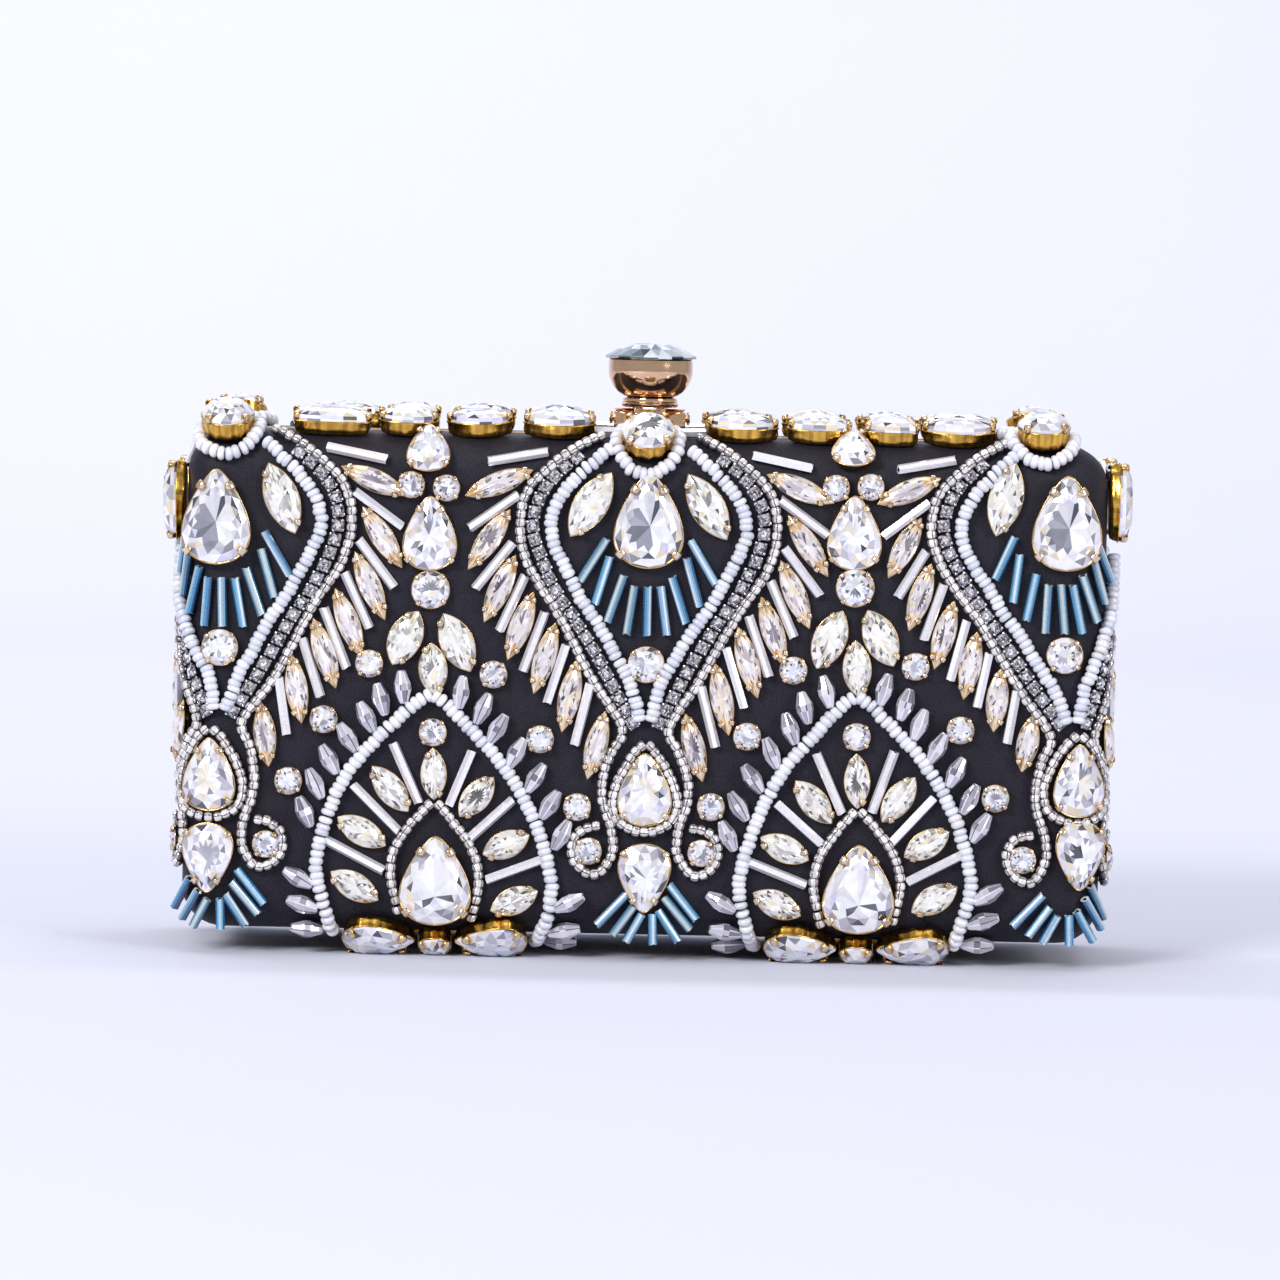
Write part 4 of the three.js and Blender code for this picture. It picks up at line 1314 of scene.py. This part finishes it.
# Widths and heights of the big stones over their cups.
PEAR_SIZES = {"teardrop": (14.9, 20.2), "arch": (15.3, 19)}
CROWN_SIZE = (11.4, 11.4)
SIDE_SIZE = (7, 17)
FOOT_SIZES = {"pear": (12.6, 15.6), "oval": (7.6, 9)}


def cad_stone(half, node, setting, u, v, size, glass, heading=(0, 1), rise=None):
    """The fine version of a stone that the CAD model holds. Its cup joins the others of its half."""
    place = half.seat(u, v, setting.rise if rise is None else rise, heading)
    stone = Shape()
    stone.add(setting.glass(size, half.rng), place)
    cup = Shape()
    cup.add(setting.metal(size), place)
    for block in (*stone.blocks, *cup.blocks):
        np.maximum(block[:, 2], 0, out=block[:, 2])
    piece(f"{node}_glass", stone, half.name, glass, (node,))
    half.batch("claw_cups").add(cup, (np.zeros(3), np.eye(3)))


def cad_stones(half, glass):
    """Every stone of this half that the CAD model holds, found by its box."""
    for node in sorted(node for node in frame["nodes"] if node.startswith(half.name + "_")):
        low, high = box_mm(node)
        middle = (low + high) / 2
        u = middle[0] * half.turn[0]
        v = middle[2]
        group, _, label = node.rpartition("_")
        figure = node.split("_")[1]
        if "_pear_" in node:
            cad_stone(half, node, FACE_PEARS[figure], u, v, PEAR_SIZES[figure], glass)
        elif "_crown_stone_" in node:
            v = CORE_TOP + EDGE * CROWN_LEAN[label]
            cad_stone(half, node, CROWN_SETTING, u, v, CROWN_SIZE, glass, rise=CROWN_RISE[label])
        elif "_side_stone_" in node:
            reach = CORE_U + QUARTER + FACE - EDGE - abs(middle[1])
            cad_stone(half, node, SIDE_SETTING, math.copysign(reach, u), v, SIDE_SIZE, glass)
        elif "_foot_stone_" in node:
            kind = "oval" if label == "b" else "pear"
            oval_low, oval_high = box_mm(group + "_b")
            inward = math.copysign(1, (oval_low[0] + oval_high[0]) / 2 * half.turn[0] - u)
            heading = (0, 1) if kind == "oval" else (inward, 0)
            v = CORE_BOTTOM - EDGE * FOOT_LEAN[kind]
            cad_stone(half, node, FOOT_SETTINGS[kind], u, v, FOOT_SIZES[kind], glass, heading)


def centres(half, kind):
    """Where the figures of one kind stand on this half, from left to right, with their labels."""
    prefix = f"{half.name}_{kind}_"
    found = [(node[len(prefix):], box_mm(node)) for node in frame["nodes"] if node.startswith(prefix)]
    return sorted(((low[0] + high[0]) / 2 * half.turn[0], label) for label, (low, high) in found)


BATCHES = {
    "white_seed_beads": ("crystal", "pearl"), "clear_seed_beads": ("crystal", "facets"),
    "chain_stones": ("crystal", "facets"), "chain_cups": ("steel", "plate"),
    "white_bugles": ("crystal", "tubes"), "blue_bugles": ("crystal", "tubes"),
    "lantern_beads": ("crystal", "facets"), "navettes": ("crystal", "facets"),
    "round_stones": ("crystal", "facets"), "pear_stones": ("crystal", "facets"),
    "top_edge_stones": ("crystal", "facets"), "claw_cups": ("gold", "plate"),
}


def dress(half, finishes):
    """All the beadwork of one half."""
    strings = {
        "discs": Seeds("white_seed_beads", DISC_RADIUS, DISC_PITCH, "e3e4ea"),
        "rounds": Seeds("white_seed_beads", ROUND_RADIUS, ROUND_PITCH, "eaeaee"),
        "clear": clear_beads(half.rng),
        "chain": chain_stones(half.rng),
    }
    for outer, (centre, _) in zip((-1, 0, 1), centres(half, "teardrop_pear")):
        motif = Motif(half, centre, outer=outer, **TEARDROPS[outer])
        teardrop(motif, strings)
        wings(motif)
    for side, (centre, _) in zip((-1, 1), centres(half, "arch_pear")):
        arch(Motif(half, centre, **ARCHES[side]), strings)
    crowns = centres(half, "crown_stone")
    for centre, label in crowns:
        crown_ring(half, centre, CROWN_LEAN[label], strings["rounds"])
    top_row(half, crowns[1][0])
    cad_stones(half, finishes["facets"])
    for kind, (slot, finish) in BATCHES.items():
        piece(f"{half.name}_{kind}", half.batch(kind), half.name, finishes[finish])


# ---------------------------------------------------------------- clasp, hinges and pocket

def turned(profile):
    """A smooth profile through the points, for turning."""
    points = [tuple(place) for place, _ in even_steps(profile, 0.35)]
    return [profile[0], *points, profile[-1]]


# The rings round the clasp's neck, as (radius, drop below the cup).
NECK_PROFILE = (
    (0.5, 1.95), (6.02, 1.95), (6.2, 1.7), (6.2, 1.25), (6.02, 1.05), (5.3, 0.95), (5.2, 0.85), (5.35, 0.75),
    (5.7, 0.6), (5.7, 0.2), (5.5, 0), (0.5, 0),
)


def clasp_pieces(finishes):
    gold = finishes["clasp"]
    for node in ("clasp_base", "clasp_lever", "catch_plate", "clasp_pin"):
        refined(node, 0.16, ROSE_GOLD, gold)
    for i in (1, 2):
        refined(f"clasp_base_rivet_{i}", 0.12, ROSE_GOLD, gold)
        refined(f"catch_rivet_{i}", 0.12, ROSE_GOLD, gold)
    low, high = box_mm("clasp_cup")
    bottom, rim, radius = low[2], high[2], high[0]
    outside = turned([
        (4.9, bottom), (6.4, bottom + 0.6), (7.6, bottom + 1.7), (8.5, bottom + 3.1), (radius, bottom + 5.2),
        (radius, rim),
    ])
    inside = [(radius - 0.5, rim), (radius - 0.9, bottom + 5), (0.5, bottom + 2)]
    cup = spun([(0.5, bottom), *outside, *inside], 64, [ROSE_GOLD])
    piece("clasp_cup_polished", cup, "clasp_lever", gold, ("clasp_cup",), 50)
    neck_top = bottom - 0.02
    neck = spun([(radius, neck_top - drop) for radius, drop in NECK_PROFILE], 64, [ROSE_GOLD])
    piece("clasp_neck_rings", neck, "clasp_lever", gold, (), 40)
    rng = np.random.default_rng(77)
    low, high = box_mm("clasp_crystal")
    base = rim + 0.4
    stone = cut_stone(oval(2 * high[0], 2 * high[0], 20), base, high[2] - base, rng, 0.6,
                      (CLASP_FACET_REFLECTIONS, CLASP_FACET_REFLECTIONS), 0.5)
    piece("clasp_crystal_cut", stone, "clasp_lever", finishes["facets"], ("clasp_crystal",))


def hinge_pieces(finishes):
    for side in ("left", "right"):
        refined(f"hinge_{side}_front_leaf", 0.15, PALE_GOLD, finishes["plate"])
        refined(f"hinge_{side}_back_leaf", 0.15, PALE_GOLD, finishes["plate"])
        refined(f"hinge_{side}_pin", 0.1, STEEL, finishes["plate"])


def pocket_pieces(finishes):
    """The pocket panel with a turned hem, and the stitches that hold it."""
    low, high = box_mm("card_pocket")
    corner = 8.0
    panel = Shape()
    turns = [
        (x + corner * math.cos(a), low[2] + corner + corner * math.sin(a))
        for x, start in ((high[0] - corner, 0), (low[0] + corner, -math.pi / 2))
        for a in np.linspace(start, start - math.pi / 2, 9)
    ]
    seam = [(high[0], high[2]), *turns, (low[0], high[2])]
    middle = np.array([(low[0] + high[0]) / 2, (low[2] + high[2]) / 2])
    levels = ((1.0, high[1]), (1.0, low[1] + 0.25), (0.992, low[1]), (0.93, low[1] + 0.1))
    rings = []
    for scale, depth in levels:
        x, z = ((np.array(seam) - middle) * scale + middle).T
        rings.append(panel.ring(np.column_stack([x, np.full(len(x), depth), z])))
    colour = rgb("2b2834")
    panel.face(rings[0], colour)
    for first, second in zip(rings, rings[1:]):
        panel.band(first, second, [colour])
    panel.face(rings[-1][::-1], colour)
    lining = finishes["lining"]
    cloth_piece = piece("card_pocket_panel", panel, "back", lining, ("card_pocket",), 40)
    stitches = Shape()
    stitch = lying(spun([(0.08, -0.8), (0.16, -0.6), (0.16, 0.6), (0.08, 0.8)], 8, [rgb("4b4658")]))
    inner = (np.array(seam) - middle) * (0.965, 0.955) + middle
    for (x, z), (run, rise) in even_steps(inner, 2.4):
        along = np.array([run, 0, rise]) / math.hypot(run, rise)
        out = np.array([0, -1.0, 0])
        stitches.add(stitch, (np.array([x, low[1] - 0.02, z]), np.array([np.cross(along, out), along, out])))
    thread = piece("card_pocket_stitches", stitches, "back", lining)


def cad_finishes(finishes):
    """The CAD nodes that stay: two shells and the clasp spring."""
    for node, finish in (("front_shell", "shell"), ("back_shell", "shell"), ("clasp_spring", "wire")):
        mesh = frame["nodes"][node].data
        mesh.materials.clear()
        mesh.materials.append(finishes[finish])


# ---------------------------------------------------------------- floor, light and camera

FLOOR_SIZE = 6.0
SWEEP_RADIUS = 0.6
WALL_HEIGHT = 3.0
WALL_DISTANCE = 1.6


def backdrop():
    """A pale seamless sheet: floor, a rounded sweep, and a wall behind."""
    profile = [(-FLOOR_SIZE / 2, 0.0), (WALL_DISTANCE - SWEEP_RADIUS, 0.0)]
    for angle in np.linspace(0, math.pi / 2, 12)[1:]:
        y = WALL_DISTANCE - SWEEP_RADIUS + SWEEP_RADIUS * math.sin(angle)
        profile.append((y, SWEEP_RADIUS * (1 - math.cos(angle))))
    profile.append((WALL_DISTANCE, WALL_HEIGHT))
    points = [(x, y, z) for y, z in profile for x in (-FLOOR_SIZE / 2, FLOOR_SIZE / 2)]
    faces = [(2 * i, 2 * i + 1, 2 * i + 3, 2 * i + 2) for i in range(len(profile) - 1)]
    mesh = bpy.data.meshes.new("studio_sweep")
    mesh.from_pydata(points, [], faces)
    mesh.shade_smooth()
    finish = Finish("studio_paper", {"Specular IOR Level": 0.0})
    finish.set(finish.surface, {
        "Base Color": finish.blend(finish.noise(3.0), opaque("cccddb"), opaque("cfd0de")),
        "Roughness": finish.span(finish.noise(40.0), 0.5, 0.6),
    })
    mesh.materials.append(finish.material)
    sweep = bpy.data.objects.new("studio_sweep", mesh)
    bpy.context.scene.collection.objects.link(sweep)


def area_light(name, place, aim, size, power):
    light = bpy.data.lights.new(name, "AREA")
    light.shape = "RECTANGLE"
    light.size, light.size_y = size
    light.energy = power
    lamp = bpy.data.objects.new(name, light)
    lamp.location = place
    lamp.rotation_euler = (Vector(aim) - Vector(place)).to_track_quat("-Z", "Y").to_euler()
    bpy.context.scene.collection.objects.link(lamp)


# The lights in metres and watts: place, aim, size and power.
BAG_MIDDLE = (0, 0, 0.06)
LIGHTS = {
    "key": ((-0.8, -1.2, 0.85), BAG_MIDDLE, (0.6, 0.4), 18.5),
    "fill": ((1.1, -1.05, 0.6), BAG_MIDDLE, (0.4, 0.7), 9),
    "overhead": ((0, -0.1, 1.5), BAG_MIDDLE, (0.9, 0.5), 2),
    "wall": ((-0.4, 0.5, 1.6), (-0.3, 1.6, 0.5), (2.4, 0.4), 27),
}
WORLD_COLOUR = (0.93, 0.95, 1.0, 1.0)
WORLD_STRENGTH = 0.5


def light_scene():
    world = bpy.data.worlds.new("studio")
    world.use_nodes = True
    background = world.node_tree.nodes["Background"]
    background.inputs["Color"].default_value = WORLD_COLOUR
    background.inputs["Strength"].default_value = WORLD_STRENGTH
    bpy.context.scene.world = world
    for name, settings in LIGHTS.items():
        area_light(name, *settings)


# The camera: distance and the width that it sees in metres, and how far it looks down and leans.
CAMERA_DISTANCE = 1.3
CAMERA_RISE = math.radians(3.6)
CAMERA_ROLL = math.radians(1.2)
VIEW_WIDTH = 0.2758
SENSOR = 36.0
CAMERA_AIM = Vector((-0.0011, -FACE * MM, 0.0696))


def add_camera():
    data = bpy.data.cameras.new("camera")
    data.sensor_width = SENSOR
    data.lens = SENSOR * CAMERA_DISTANCE / VIEW_WIDTH
    camera = bpy.data.objects.new("camera", data)
    back = Vector((0, -math.cos(CAMERA_RISE), math.sin(CAMERA_RISE)))
    turn = Matrix.Rotation(math.pi / 2 - CAMERA_RISE, 4, "X") @ Matrix.Rotation(CAMERA_ROLL, 4, "Z")
    camera.matrix_world = Matrix.Translation(CAMERA_AIM + back * CAMERA_DISTANCE) @ turn
    bpy.context.scene.collection.objects.link(camera)
    bpy.context.scene.camera = camera


# ---------------------------------------------------------------- assembly

add_camera()
backdrop()
light_scene()
bpy.context.scene.view_settings.view_transform = "Standard"

finishes = {
    "satin": cloth("satin", "0d0c13", "2b2837", 0.32, 0.08, 0.46),
    "lining": cloth("lining", "15131a", "2e2a3c", 0.3, 0.12, 0.5),
    "shell": grained("moulded_shell", {"Specular IOR Level": 0.4}, 2200.0, 3.0, ("1b1b20", "2a2a30"),
                     (0.45, 0.6), (0.00003, 0.6)),
    "facets": glass_facets("cut_glass", 0.35, 0.08),
    "tubes": grained("tube_glass", TUBES, 1500.0, 2.0, (0.25, "8a8a9c"), (0.16, 0.3), (0.00004, 0.5)),
    "pearl": grained("pearl_glass", PEARL, 700.0, 3.0, (0.35, "c4c2d0"), (0.18, 0.34)),
    "plate": plated("claw_plate", 0.2, 0.5),
    "clasp": plated("clasp_plate", 0.1, 0.12),
    "wire": grained("spring_wire", {"Metallic": 1.0}, 2500.0, 2.0, ("a8a8ae", "c9c9ce"), (0.2, 0.35)),
}

for half in (Half("front", 1, 11), Half("back", -1, 23)):
    body_coverings(half, finishes["satin"], finishes["lining"], finishes["plate"])
    dress(half, finishes)
clasp_pieces(finishes)
hinge_pieces(finishes)
pocket_pieces(finishes)
cad_finishes(finishes)
